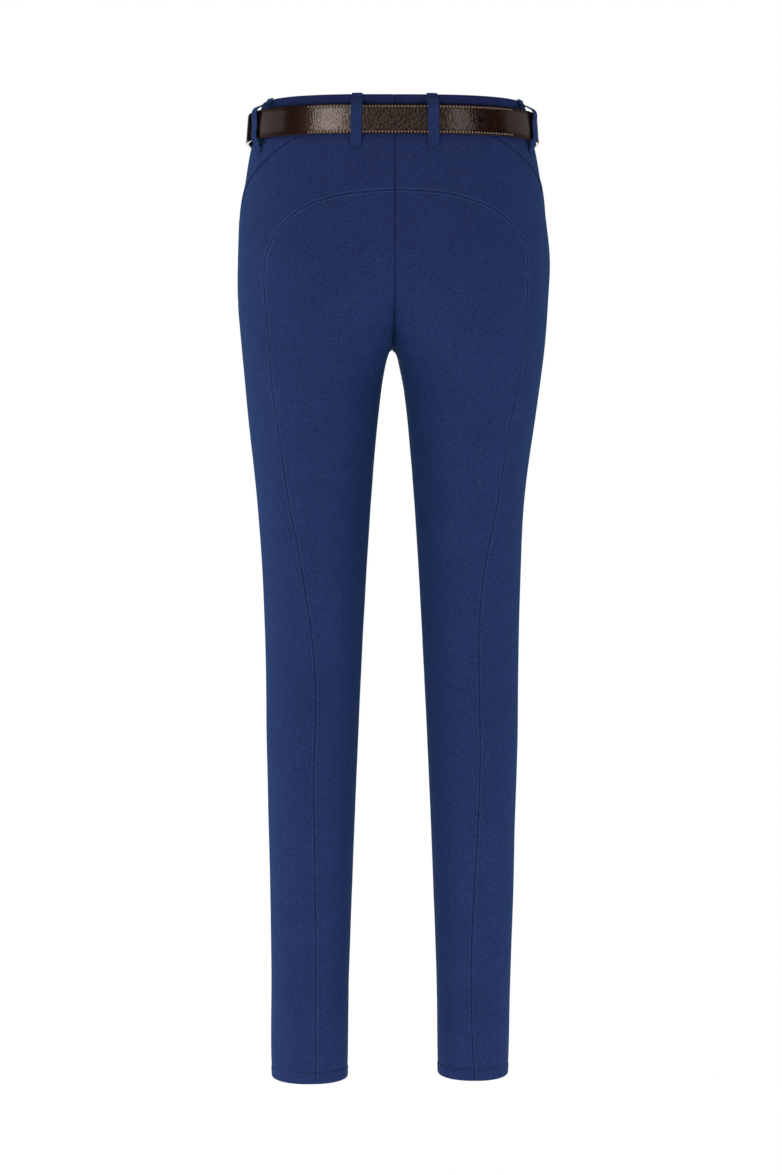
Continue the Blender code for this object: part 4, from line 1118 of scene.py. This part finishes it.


# A row of slanted stitches, and between them dark marks of painted shade where the awl holes are.
def strapStitches(upper):
    pitch = belt["stitchPitch"] * mm
    slant = belt["stitchSlant"] * mm
    z = (belt["height"] / 2 - belt["stitchInset"] * mm) * (1 if upper else -1)
    begins = np.arange(belt["stitchFrom"], beltRound + belt["freeEnd"] - belt["stitchTo"], pitch)
    begins = begins[plainness(onRing(begins)[:, 0]) <= belt["stitchHidden"]]
    sunk = plainness(onRing(begins)[:, 0]) * belt["stitchSunk"] * mm
    face = strapOffset(begins) + strapChannel * mm - sunk
    ups = unit(beltPlace(begins, face + 0.01, z) - beltPlace(begins, face, z))
    starts = beltPlace(begins, face, z + slant)
    ends = beltPlace(begins + pitch * belt["stitchLength"], face, z - slant)
    holeFace, slant = face + belt["holeLift"] * mm, slant * belt["holeSlant"]
    holeStarts = beltPlace(begins + pitch * belt["holeFrom"], holeFace, z - slant)
    holeEnds = beltPlace(begins + pitch * belt["holeTo"], holeFace, z + slant)
    return (starts, ends, ups), (holeStarts, holeEnds, ups)


makeStrap()
threads, holes = zip(*[strapStitches(upper) for upper in (True, False)])
stitchMesh("belt_saddle_stitching", *joinedRows(threads), saddleThread, "leather", belt["stitchRadius"])
# The awl holes' shade is painted: near-black marks lying just off the leather between the stitches.
stitchMesh("belt_awl_hole_painted_shade", *joinedRows(holes), awlHoleShade, "leather", belt["holeRadius"])
print("belt made")


# A round rod along a path, or a closed ring of it.
def rodPiece(name, path, radius, material, replaced, ring=False, corners=16):
    path = np.asarray(path, float)
    count = len(path)
    ahead = unit(np.roll(path, -1, axis=0) - np.roll(path, 1, axis=0) if ring else np.gradient(path, axis=0))
    side = np.zeros_like(path)
    helper = np.cross(ahead[0], (0.0, 0.0, 1.0))
    if np.linalg.norm(helper) < 0.1:
        helper = np.cross(ahead[0], (1.0, 0.0, 0.0))
    side[0] = unit(helper)
    for i in range(1, count):
        side[i] = unit(side[i - 1] - ahead[i] * np.dot(side[i - 1], ahead[i]))
    over = np.cross(ahead, side)
    if ring:
        # The small twist that is left is shared out over the ring.
        carried = unit(side[-1] - ahead[0] * np.dot(side[-1], ahead[0]))
        twist = math.atan2(np.dot(np.cross(carried, side[0]), ahead[0]), np.dot(carried, side[0]))
        turn = (np.arange(count) / count * twist)[:, None]
        side, over = side * np.cos(turn) + over * np.sin(turn), over * np.cos(turn) - side * np.sin(turn)
    angles = (2 * math.pi * np.arange(corners) / corners)[:, None]
    radius = np.broadcast_to(np.asarray(radius, float), (count,))[:, None, None]
    points = path[:, None] + radius * (side[:, None] * np.cos(angles) + over[:, None] * np.sin(angles))
    return tubePiece(name, points, material, replaced, ring)


def smoothPath(points, count, ring=False):
    points = np.asarray(points, float)
    if ring:
        points = np.vstack([points[-3:], points, points[:3]])
    along = lengthsAlong(points)
    at = np.linspace(along[3], along[-3], count + 1)[:-1] if ring else np.linspace(0, along[-1], count)
    return np.stack([curveThrough(along, points[:, axis], at) for axis in range(3)], axis=1)


def makeBuckleFrame(far):
    bar, length, top = buckle["barOffset"], buckle["length"], buckle["halfHeight"]
    farCorner, barCorner = buckle["farCorner"], buckle["barCorner"]
    outline = []
    for end, corner, first, alongSign, upSign in (
        (length, farCorner, -90, 1, -1), (length, farCorner, 0, 1, 1),
        (0.0, barCorner, 90, -1, 1), (0.0, barCorner, 180, -1, -1),
    ):
        for angle in np.radians(np.linspace(first + 3, first + 87, 9)):
            reach = end - alongSign * corner + corner * math.cos(angle)
            height = upSign * (top - corner) + corner * math.sin(angle)
            outline.append(beltPlace(-reach, bar + (far - bar) * reach / length, height))
    path = smoothPath(outline, 220, True)
    rodPiece("buckle_frame_satin", path, buckle["rod"], steel, ("buckle_frame",), True, 18)


# The prong: a hook round the bar, then over the strap's free end to rest on the frame's far side.
def makeBuckleProng(far):
    bar, length, gap, prongRod = (buckle[name] for name in ("barOffset", "length", "gap", "prongRod"))
    wrap = buckle["rod"] + gap + prongRod
    hook = np.radians((35, 10, -20, -50, -80, -110, -140, -165, -180))
    path = [beltPlace(wrap * math.cos(a), bar + wrap * math.sin(a), 0.0) for a in hook]
    rest = far + buckle["rod"] + gap + prongRod
    outside = belt["freeEndAtBar"] + belt["wall"] / 2 + gap + prongRod
    for along, offset in (
        (-wrap, outside - 0.0020), (-wrap - 0.0008, outside - 0.0006), (-wrap - 0.0030, outside + 0.0002),
        (-length * 0.6, (outside + rest) / 2 + 0.0003), (-length - 0.0030, rest),
    ):
        path.append(beltPlace(along, offset, 0.0))
    path = smoothPath(path, 90)
    fromTip = lengthsAlong(path)[-1] - lengthsAlong(path)
    radius = prongRod * (0.62 + 0.38 * ease(fromTip / buckle["prongTip"]))
    rodPiece("buckle_prong_satin", path, radius, steel, ("buckle_prong",), False, 14)


# The strap's end where it turns round the buckle's bar, on both sides of the prong.
def makeEye():
    inner = buckle["rod"] + buckle["gap"]
    outer = inner + buckle["eyeWall"]
    angles = np.radians(np.linspace(0, 360, 37))[:-1]
    points, faces = [], []
    for low, high in buckle["eyeHalves"]:
        outline = [(inner, low), (outer - 0.0003, low), (outer, low + 0.0004), (outer, high - 0.0004),
                   (outer - 0.0003, high), (inner, high)]
        half = np.array([[beltPlace(radius * math.cos(a), buckle["barOffset"] + radius * math.sin(a), z)
                          for radius, z in outline] for a in angles])
        faces += [face + len(points) for face in tubeFaces(half, True)]
        points += half.reshape(-1, 3).tolist()
    eye = newPiece("belt_eye_leather", points, faces, leather, (), sharp=40)
    setAttribute(eye, "grainAt", np.full(len(points), 0.6))


# The keeper's wall across its width and out, as shares of its width and thickness.
keeperProfile = (
    (0.0, 0.0), (0.5, 0.0), (1.0, 0.0), (1.0, 0.55), (0.96, 0.85), (0.88, 1.0), (0.5, 1.04), (0.12, 1.0),
    (0.04, 0.85), (0.0, 0.55),
)


def makeKeeper():
    low = -belt["wall"] / 2 - buckle["gap"]
    high = belt["freeEndOffset"] + belt["wall"] / 2 + buckle["gap"]
    half = belt["height"] / 2 + buckle["gap"]
    corner = buckle["keeperCorner"]
    points = []
    for offset, z, first in ((high, half, 0), (low, half, 90), (low, -half, 180), (high, -half, 270)):
        inOffset = offset - corner if offset == high else offset + corner
        inZ = z - math.copysign(corner, z)
        for a in np.radians(np.linspace(first, first + 90, 7)):
            row = []
            for along, depth in keeperProfile:
                reach = corner + depth * buckle["keeperWall"]
                distance = buckle["keeperFromBar"] + along * buckle["keeperWidth"]
                row.append(beltPlace(distance, inOffset + math.cos(a) * reach, inZ + math.sin(a) * reach))
            points.append(row)
    points = np.array(points)
    keeper = tubePiece("belt_keeper_leather", points, leather, ("belt_keeper",), ring=True)
    setAttribute(keeper, "grainAt", np.full(len(keeper.data.vertices), 0.7))


frameFar = belt["wall"] / 2 + buckle["rod"] + buckle["overStrap"]
makeBuckleFrame(frameFar)
makeBuckleProng(frameFar)
makeEye()
makeKeeper()
print("buckle made")

# Belt loops: metres, or millimetres where a comment says so.
loopLook = {
    "width": 0.0115,
    "wall": 0.0014,
    "offBelt": 0.0008,
    "offCloth": 0.0006,
    "splay": 0.0012,
    "waver": 0.035,  # share of its width by which each edge wavers
    "waves": (0.017, 0.027, 0.041),
    "topNarrow": 0.12,
    "twin": 0.46,  # how far out its two rows of stitches are, as a share of its half-width
    "stitchLift": 0.44,  # mm
    "tack": 0.0021,  # the bar tack's height above the foot
    "tackLift": 0.14,  # mm
    "tackPress": 0.62,  # mm
    "tackStitches": 8,
    "tackStitch": 0.0013,
}
# Each loop's side and face, millimetres across from the centre, and the layers of belt it holds.
loops = {
    "loop_back_left": ("left", "back", 39, 1),
    "loop_back_right": ("right", "back", 39, 1),
    "loop_side_left": ("left", "back", 133, 1),
    "loop_side_right": ("right", "back", 136, 1),
    "loop_front_left": ("left", "front", 78, 2),
    "loop_front_right": ("right", "front", 78, 1),
}
# A loop's course in millimetres: its height, the height at which the cloth behind it is measured, its
# share of the way from that cloth out to over the belt, and how much further out it is.
loopCourse = (
    (27.55, 27, 0.0, -2.0),
    (27.75, 27, 0.0, -0.6),
    (26.9, 27, 0.0, 0.45),
    (24.0, 27, 0.0, 0.8),
    (20.5, 27, 0.5, 0.0),
    (16.2, 27, 1.0, -0.4),
    (0.0, 27, 1.0, 0.4),
    (-15.4, -29, 1.0, 0.4),
    (-18.0, -29, 1.0, -1.2),
    (-20.8, -29, 0.3, 0.0),
    (-24.0, -24, 0.0, 0.0),
    (-29.0, -29, 0.0, 0.0),
)
# Half the loop's face from its edge, as share of the half-width and height in millimetres.
loopFace = (
    (1.0, 0.0), (0.985, 0.36), (0.95, 0.57), (0.88, 0.68), (0.72, 0.73), (0.58, 0.70), (0.50, 0.60),
    (0.46, 0.57), (0.42, 0.60), (0.34, 0.70), (0.18, 0.74),
)


def loopOutline():
    face = [(-a, h) for a, h in loopFace] + [(0.0, 0.74)] + [(a, h) for a, h in reversed(loopFace)]
    edge = loopFace[1:4]
    back = [(a, -h) for a, h in edge] + [(0.0, -0.70)] + [(-a, -h) for a, h in reversed(edge)]
    return np.array(face + back)


# The middle line of a loop from its top to its foot, and the directions of its width and outwards.
def loopPath(side, face, across, layers):
    s = roundAt(side, face, across * mm, 0.0)
    middle, out = surfaceAt(side, s, 0.0)
    out = unit(out * np.array([1.0, 1.0, 0.0]))
    width = np.array([-out[1], out[0], 0.0])
    outerWay = width * math.copysign(1.0, width[0] * middle[0])
    gaps = ringPoints - middle[:2]
    ahead = gaps @ out[:2]
    beltReach = ahead[np.argmin(np.abs(gaps @ width[:2]) + 10 * (ahead < 0))]
    half = loopLook["wall"] / 2
    over = beltReach + belt["wall"] / 2 + (layers - 1) * belt["freeEndOffset"] + loopLook["offBelt"] + half
    top, foot = loopCourse[0][0], loopCourse[-1][0]
    path = []
    for height, clothAt, share, more in loopCourse:
        cloth = np.dot(surfaceAt(side, s, clothAt * mm)[0] - middle, out) + loopLook["offCloth"] + half
        offset = cloth * (1 - share) + over * share + more * mm
        splay = loopLook["splay"] * ((top - height) / (top - foot) - 0.5)
        path.append(middle + out * offset + outerWay * splay + np.array([0, 0, height * mm]))
    return smoothPath(path, 84), width, out


def makeLoop(name, side, face, across, layers):
    path, width, out = loopPath(side, face, across, layers)
    thick = np.cross(width, unit(np.gradient(path, axis=0)))
    if thick[len(path) // 2] @ out < 0:
        thick = -thick
    half = loopLook["width"] / 2
    outline = loopOutline()
    along = lengthsAlong(path)
    fromFoot = along[-1] - along
    # Its edges waver, its foot is pressed down under the bar tack, and its top is folded thin.
    seed = 200 + len(name) + layers + (1 if side == "left" else 0)
    narrowed = 1 - loopLook["topNarrow"] * (1 - ease(along / 0.0035))
    left, right = (
        (1 + loopLook["waver"] * waver(along, seed + k, loopLook["waves"])) * narrowed for k in (0, 7)
    )
    aside = np.where(outline[:, 0] < 0, outline[:, 0] * left[:, None], outline[:, 0] * right[:, None])
    press = loopLook["tackPress"] * hump((fromFoot - loopLook["tack"]) / mm, 0, 0.55)
    thin = (0.72 + 0.28 * ease(along / 0.004)) * (1 - 0.35 * (1 - ease(fromFoot / 0.0012)))
    onFace = (outline[:, 1] > 0) & (np.abs(outline[:, 0]) < 0.9)
    lift = outline[:, 1] * thin[:, None] - press[:, None] * onFace
    points = path[:, None] + width * (aside * half)[..., None] + thick[:, None] * (lift * mm)[..., None]
    piece = tubePiece(name + "_cloth", points, loopTwill, (name,))
    rows, columns = points.shape[:2]
    weave = [np.tile(outline[:, 0] * half, rows), along.repeat(columns), np.zeros(rows * columns)]
    setAttribute(piece, "weaveAt", np.stack(weave, axis=1))

    def faceAt(distance, aside, lift):
        up = unit(placesAlong(distance, along, thick))
        return placesAlong(distance, along, path) + width * aside + up * lift * mm, up

    # Two rows of stitches down its face, and the bar tack across its foot.
    begins = np.arange(0.002, along[-1] - 0.005, stitchPitch)
    stitches = []
    for aside in (-half * loopLook["twin"], half * loopLook["twin"]):
        starts, ups = faceAt(begins, aside, loopLook["stitchLift"])
        ends, _ = faceAt(begins + stitchLength, aside, loopLook["stitchLift"])
        stitches.append((starts, ends, ups))
    asides = np.linspace(-half * 0.78, half * 0.56, loopLook["tackStitches"])[:, None]
    foot = np.full(len(asides), along[-1] - loopLook["tack"])
    starts, ups = faceAt(foot, asides, loopLook["tackLift"])
    ends, _ = faceAt(foot, asides + loopLook["tackStitch"], loopLook["tackLift"])
    stitches.append((starts, ends, ups))
    return piece, joinedRows(stitches)


loopPieces, loopStitches = zip(*[makeLoop(name, *place) for name, place in loops.items()])
stitchMesh("belt_loop_stitching", *joinedRows(loopStitches), tonalThread, radius=stitchLook["tonalRadius"])
print("belt loops made")

# The fly's lap, with its curved topstitching, and the closed zip behind it, in metres.
fly = {
    "top": -0.0165,
    "foot": -0.150,
    "curveStart": -0.112,
    "width": 0.036,
    "lap": 0.006,
    "wall": 0.0012,
    "gap": 0.0003,
    "stitchInsets": (0.0015, 0.0060),
}
zipLook = {
    "foot": -0.126,
    "halfWidth": 0.013,
    "wall": 0.0010,
    "coilTop": 0.0125,  # down from the fly's top
    "coilFoot": 0.006,  # up from the tape's foot
    "coilHalf": 0.0021,
    "coilLift": 0.0006,
    "coilSwing": 0.0005,
    "coilRod": 0.00032,
    "pitch": 0.0019,
    "stepsPerTurn": 8,
    "sliderDown": 0.0075,
    "sliderLift": 0.0017,
    "sliderHalf": (0.0026, 0.0040),
    "sliderSpread": 0.0005,  # how much wider its top is than its middle
}
# The slider's body from its back to its face: millimetres out, and share of its size.
sliderRings = ((-1.4, 0.80), (-1.0, 0.97), (0.8, 1.0), (1.2, 0.94), (1.4, 0.80))


def frontPlace(x, z):
    side = "left" if x >= 0 else "right"
    return surfaceAt(side, roundAt(side, "front", abs(x), z), z)


def flyEdge(z):
    below = np.clip((fly["curveStart"] - z) / (fly["curveStart"] - fly["foot"]), 0, 1)
    return -fly["lap"] + (fly["width"] + fly["lap"]) * np.sqrt(1 - min(below * 0.9995, 1) ** 2)


# A row of stitches down the lap and round its curve, this far inside its edge.
def flyStitches(inset):
    line = [(fly["width"] - inset, z) for z in spread(fly["top"] - 0.002, fly["curveStart"], 0.001)]
    across = fly["width"] + fly["lap"] - inset
    down = fly["curveStart"] - fly["foot"] - inset
    for angle in np.radians(np.linspace(2, 86, 60)):
        line.append((-fly["lap"] + across * math.cos(angle), fly["curveStart"] - down * math.sin(angle)))
    found = [frontPlace(x, z) for x, z in line]
    curve = np.array([point + normal * (fly["gap"] + fly["wall"]) for point, normal in found])
    normals = np.array([normal for _, normal in found])
    along = lengthsAlong(curve)
    begins = np.arange(0.0, along[-1] - 0.003, stitchPitch)
    starts, ends = (placesAlong(begins + extra, along, curve) for extra in (0.0, stitchLength))
    return starts, ends, placesAlong(begins, along, normals)


def makeFly():
    curveAngles = np.radians(np.linspace(4, 88, 22))
    heights = np.concatenate([
        spread(fly["top"], fly["curveStart"], 0.003),
        fly["curveStart"] + (fly["foot"] - fly["curveStart"]) * np.sin(curveAngles),
    ])
    columns = 31
    outer, inner, weave = [], [], []
    for z in heights:
        last = flyEdge(z)
        for x in np.linspace(-fly["lap"], last, columns):
            point, normal = frontPlace(x, z)
            fromEdge = min(x + fly["lap"], last - x, fly["top"] - z + 0.002) / mm
            rise = fly["gap"] + fly["wall"] - 0.35 * mm * hump(fromEdge, 0, 0.8)
            outer.append(point + normal * rise)
            inner.append(point + normal * fly["gap"])
            weave.append((x, z, 0.0))
    points = np.array(outer + inner)
    faces = facingOut(points, wallFaces(len(heights), columns))
    piece = newPiece("fly_cloth", points, faces, twill, ("fly_flap",))
    setAttribute(piece, "weaveAt", weave + weave)
    rows = [flyStitches(inset) for inset in fly["stitchInsets"]]
    stitchMesh("fly_topstitching", *joinedRows(rows), clothThread)
    return piece


zipDepth = garment["cloth"] + 3 * fly["gap"]  # from the garment's surface in to the tape's face


def makeZipTape():
    heights = spread(fly["top"], zipLook["foot"], 0.004)
    columns = 13
    outer, inner = [], []
    for z in heights:
        for x in np.linspace(-zipLook["halfWidth"], zipLook["halfWidth"], columns):
            point, normal = frontPlace(x, z)
            outer.append(point - normal * zipDepth)
            inner.append(point - normal * (zipDepth + zipLook["wall"]))
    points = np.array(outer + inner)
    faces = facingOut(points, wallFaces(len(heights), columns))
    newPiece("zip_tape_woven", points, faces, tape, ("zip_tape",))


# The closed coil, as one fine winding down the middle of the tape's inner face.
def makeZipCoil():
    steps = zipLook["stepsPerTurn"]
    heights = np.arange(fly["top"] - zipLook["coilTop"], zipLook["foot"] + zipLook["coilFoot"],
                        -zipLook["pitch"] / steps)
    path = []
    for i, z in enumerate(heights):
        point, normal = frontPlace(1e-5, z)
        angle = 2 * math.pi * i / steps
        lift = zipDepth + zipLook["wall"] + zipLook["coilLift"] + zipLook["coilSwing"] * math.cos(angle)
        path.append(point - normal * lift + np.array([zipLook["coilHalf"] * math.sin(angle), 0.0, 0.0]))
    rodPiece("zip_coil", path, zipLook["coilRod"], clothThread, (), False, 6)


# The slider's body, closed up to the top, over the coil's end.
def makeZipSlider():
    point, normal = frontPlace(1e-5, fly["top"] - zipLook["sliderDown"])
    middle = point - normal * (zipDepth + zipLook["wall"] + zipLook["sliderLift"])
    halfWidth, halfHeight = zipLook["sliderHalf"]
    points = []
    for lift, size in sliderRings:
        row = []
        for angle in np.radians(np.arange(0, 360, 15)):
            across = math.copysign(abs(math.cos(angle)) ** 0.5, math.cos(angle)) * size
            up = math.copysign(abs(math.sin(angle)) ** 0.5, math.sin(angle)) * size
            place = np.array([across * (halfWidth + zipLook["sliderSpread"] * up), 0.0, up * halfHeight])
            row.append(middle - normal * (lift * mm) + place)
        points.append(row)
    tubePiece("zip_slider", np.array(points), steel, (), sharp=40)


flyPiece = makeFly()
makeZipTape()
makeZipCoil()
makeZipSlider()
print("fly made")

# Floor, light and camera, in metres.
studio = {
    "distance": 4.0,
    "azimuth": 1.3,  # degrees round from straight behind
    "eyeHeight": -0.479,
    "lens": 116.72,
    "shift": -0.00128,
    "floor": -1.10,
    "floorRadius": 2.0,
    "floorFade": (0.5, 1.8),  # where the floor starts to fade into the background, and where it is gone
    "floorColours": ("#f0f0f0", "#f6f6f6"),
    "floorGlow": 0.56,
    "worldLight": 0.32,
    "worldGloss": 0.0,  # dark flags round the set, so that leather and metal have deep shades
}
# Soft boxes: azimuth from the camera's side, distance, height, width, height of box, watts, and which kind
# of light it gives: the wide ones are flagged off from gloss, and the strips are seen in gloss alone.
softBoxes = (
    ("key", 22, 1.7, -0.12, 0.65, 1.1, 4.7, "diffuse"),
    ("keyStrip", 21, 2.6, 0.76, 0.88, 1.2, 15.5, "gloss"),
    ("keySpill", 4, 2.6, 0.80, 0.60, 1.1, 1.4, "gloss"),
    ("keyCrown", 27, 2.0, 2.25, 1.10, 0.7, 3, "gloss"),
    ("fill", -24, 1.8, -0.12, 0.60, 1.1, 1.4, "diffuse"),
    ("fillStrip", -25, 2.8, 0.80, 0.60, 1.1, 4.2, "gloss"),
    ("wideKey", 44, 1.8, -0.12, 1.0, 1.2, 2.8, "diffuse"),
    ("wideFill", -44, 1.8, -0.12, 1.0, 1.2, 4.0, "diffuse"),
    ("sideLeft", 98, 2.2, 0.00, 1.2, 1.9, 18, "diffuse"),
    ("sideRight", -98, 2.2, -0.25, 1.2, 1.9, 11.5, "diffuse"),
    ("edgeLeft", 96, 2.2, 1.00, 2.5, 0.7, 2.5, "gloss"),
    ("edgeRight", -100, 2.2, 1.00, 2.2, 0.7, 1.7, "gloss"),
    ("front", 180, 2.8, 0.30, 1.6, 1.6, 14, "both"),
)


def makeWorld():
    world = bpy.data.worlds.new("paleStudio")
    bpy.context.scene.world = world
    world.use_nodes = True
    tree = world.node_tree
    tree.nodes.clear()
    lighting, mirrored, seen = [
        addNode(tree, "Background", {"Color": (1, 1, 1, 1), "Strength": strength})
        for strength in (studio["worldLight"], studio["worldGloss"], 1.0)
    ]
    ray = addNode(tree, "LightPath")
    unseen = addNode(tree, "MixShader", None, {0: (ray, "Is Glossy Ray"), 1: lighting, 2: mirrored})
    mix = addNode(tree, "MixShader", None, {0: (ray, "Is Camera Ray"), 1: unseen, 2: seen})
    addNode(tree, "OutputWorld", None, {"Surface": mix})


# A pale matt floor that fades into the background.
def makeFloor():
    rings, spokes = 12, 64
    points = [(0.0, 0.0, studio["floor"])]
    for ring in range(1, rings + 1):
        reach = studio["floorRadius"] * (ring / rings) ** 1.6
        for k in range(spokes):
            angle = 2 * math.pi * k / spokes
            points.append((reach * math.cos(angle), reach * math.sin(angle), studio["floor"]))
    faces = [(0, 1 + k, 1 + (k + 1) % spokes) for k in range(spokes)]
    for first in range(1, 1 + (rings - 1) * spokes, spokes):
        for k in range(spokes):
            n = (k + 1) % spokes
            faces.append((first + k, first + spokes + k, first + spokes + n, first + n))
    mesh = bpy.data.meshes.new("floor")
    mesh.from_pydata(points, [], faces)
    floor = bpy.data.objects.new("floor", mesh)
    bpy.context.scene.collection.objects.link(floor)
    material, tree, shader, place = newMaterial("paleMattFloor", {
        "Roughness": 0.9, "Emission Color": (1, 1, 1, 1), "Emission Strength": studio["floorGlow"],
    })
    dark, light = studio["floorColours"]
    start, end = studio["floorFade"]
    fine = addNode(tree, "TexNoise", {"Scale": 60.0, "Detail": 3.0}, {"Vector": place})
    shade = addNode(tree, "Mix", {"data_type": "RGBA", 6: fromHex(dark), 7: fromHex(light)}, {0: fine})
    reach = addNode(tree, "VectorMath", {"operation": "LENGTH"}, {0: place})
    fade = addNode(tree, "MapRange", {"From Min": start, "From Max": end, "To Min": 1.0, "To Max": 0.0},
                   {"Value": (reach, "Value")})
    feed(tree, shader, {"Base Color": (shade, 2), "Alpha": fade})
    mesh.materials.append(material)


def makeLights():
    for name, azimuth, distance, height, boxWidth, boxHeight, watts, kind in softBoxes:
        light = bpy.data.lights.new(name, "AREA")
        light.shape = "RECTANGLE"
        light.size, light.size_y = boxWidth, boxHeight
        light.energy = watts
        lamp = bpy.data.objects.new(name, light)
        lamp.visible_glossy = kind != "diffuse"
        lamp.visible_diffuse = kind != "gloss"
        turn = math.radians(azimuth + studio["azimuth"])
        lamp.location = (distance * math.sin(turn), distance * math.cos(turn), studio["eyeHeight"] + height)
        target = Vector((0, 0, studio["eyeHeight"] + 0.1))
        lamp.rotation_euler = (target - lamp.location).to_track_quat("-Z", "Y").to_euler()
        bpy.context.scene.collection.objects.link(lamp)


def makeCamera():
    camera = bpy.data.cameras.new("camera")
    camera.sensor_width = 36.0
    camera.lens = studio["lens"]
    camera.shift_x = studio["shift"]
    viewer = bpy.data.objects.new("camera", camera)
    away, turn = studio["distance"], math.radians(studio["azimuth"])
    viewer.location = (away * math.sin(turn), away * math.cos(turn), studio["eyeHeight"])
    ahead = Vector((-math.sin(turn), -math.cos(turn), 0))
    viewer.rotation_euler = ahead.to_track_quat("-Z", "Y").to_euler()
    bpy.context.scene.collection.objects.link(viewer)
    bpy.context.scene.camera = viewer


bpy.context.scene.view_settings.view_transform = "Standard"
makeWorld()
makeFloor()
makeLights()
makeCamera()
print("studio made")
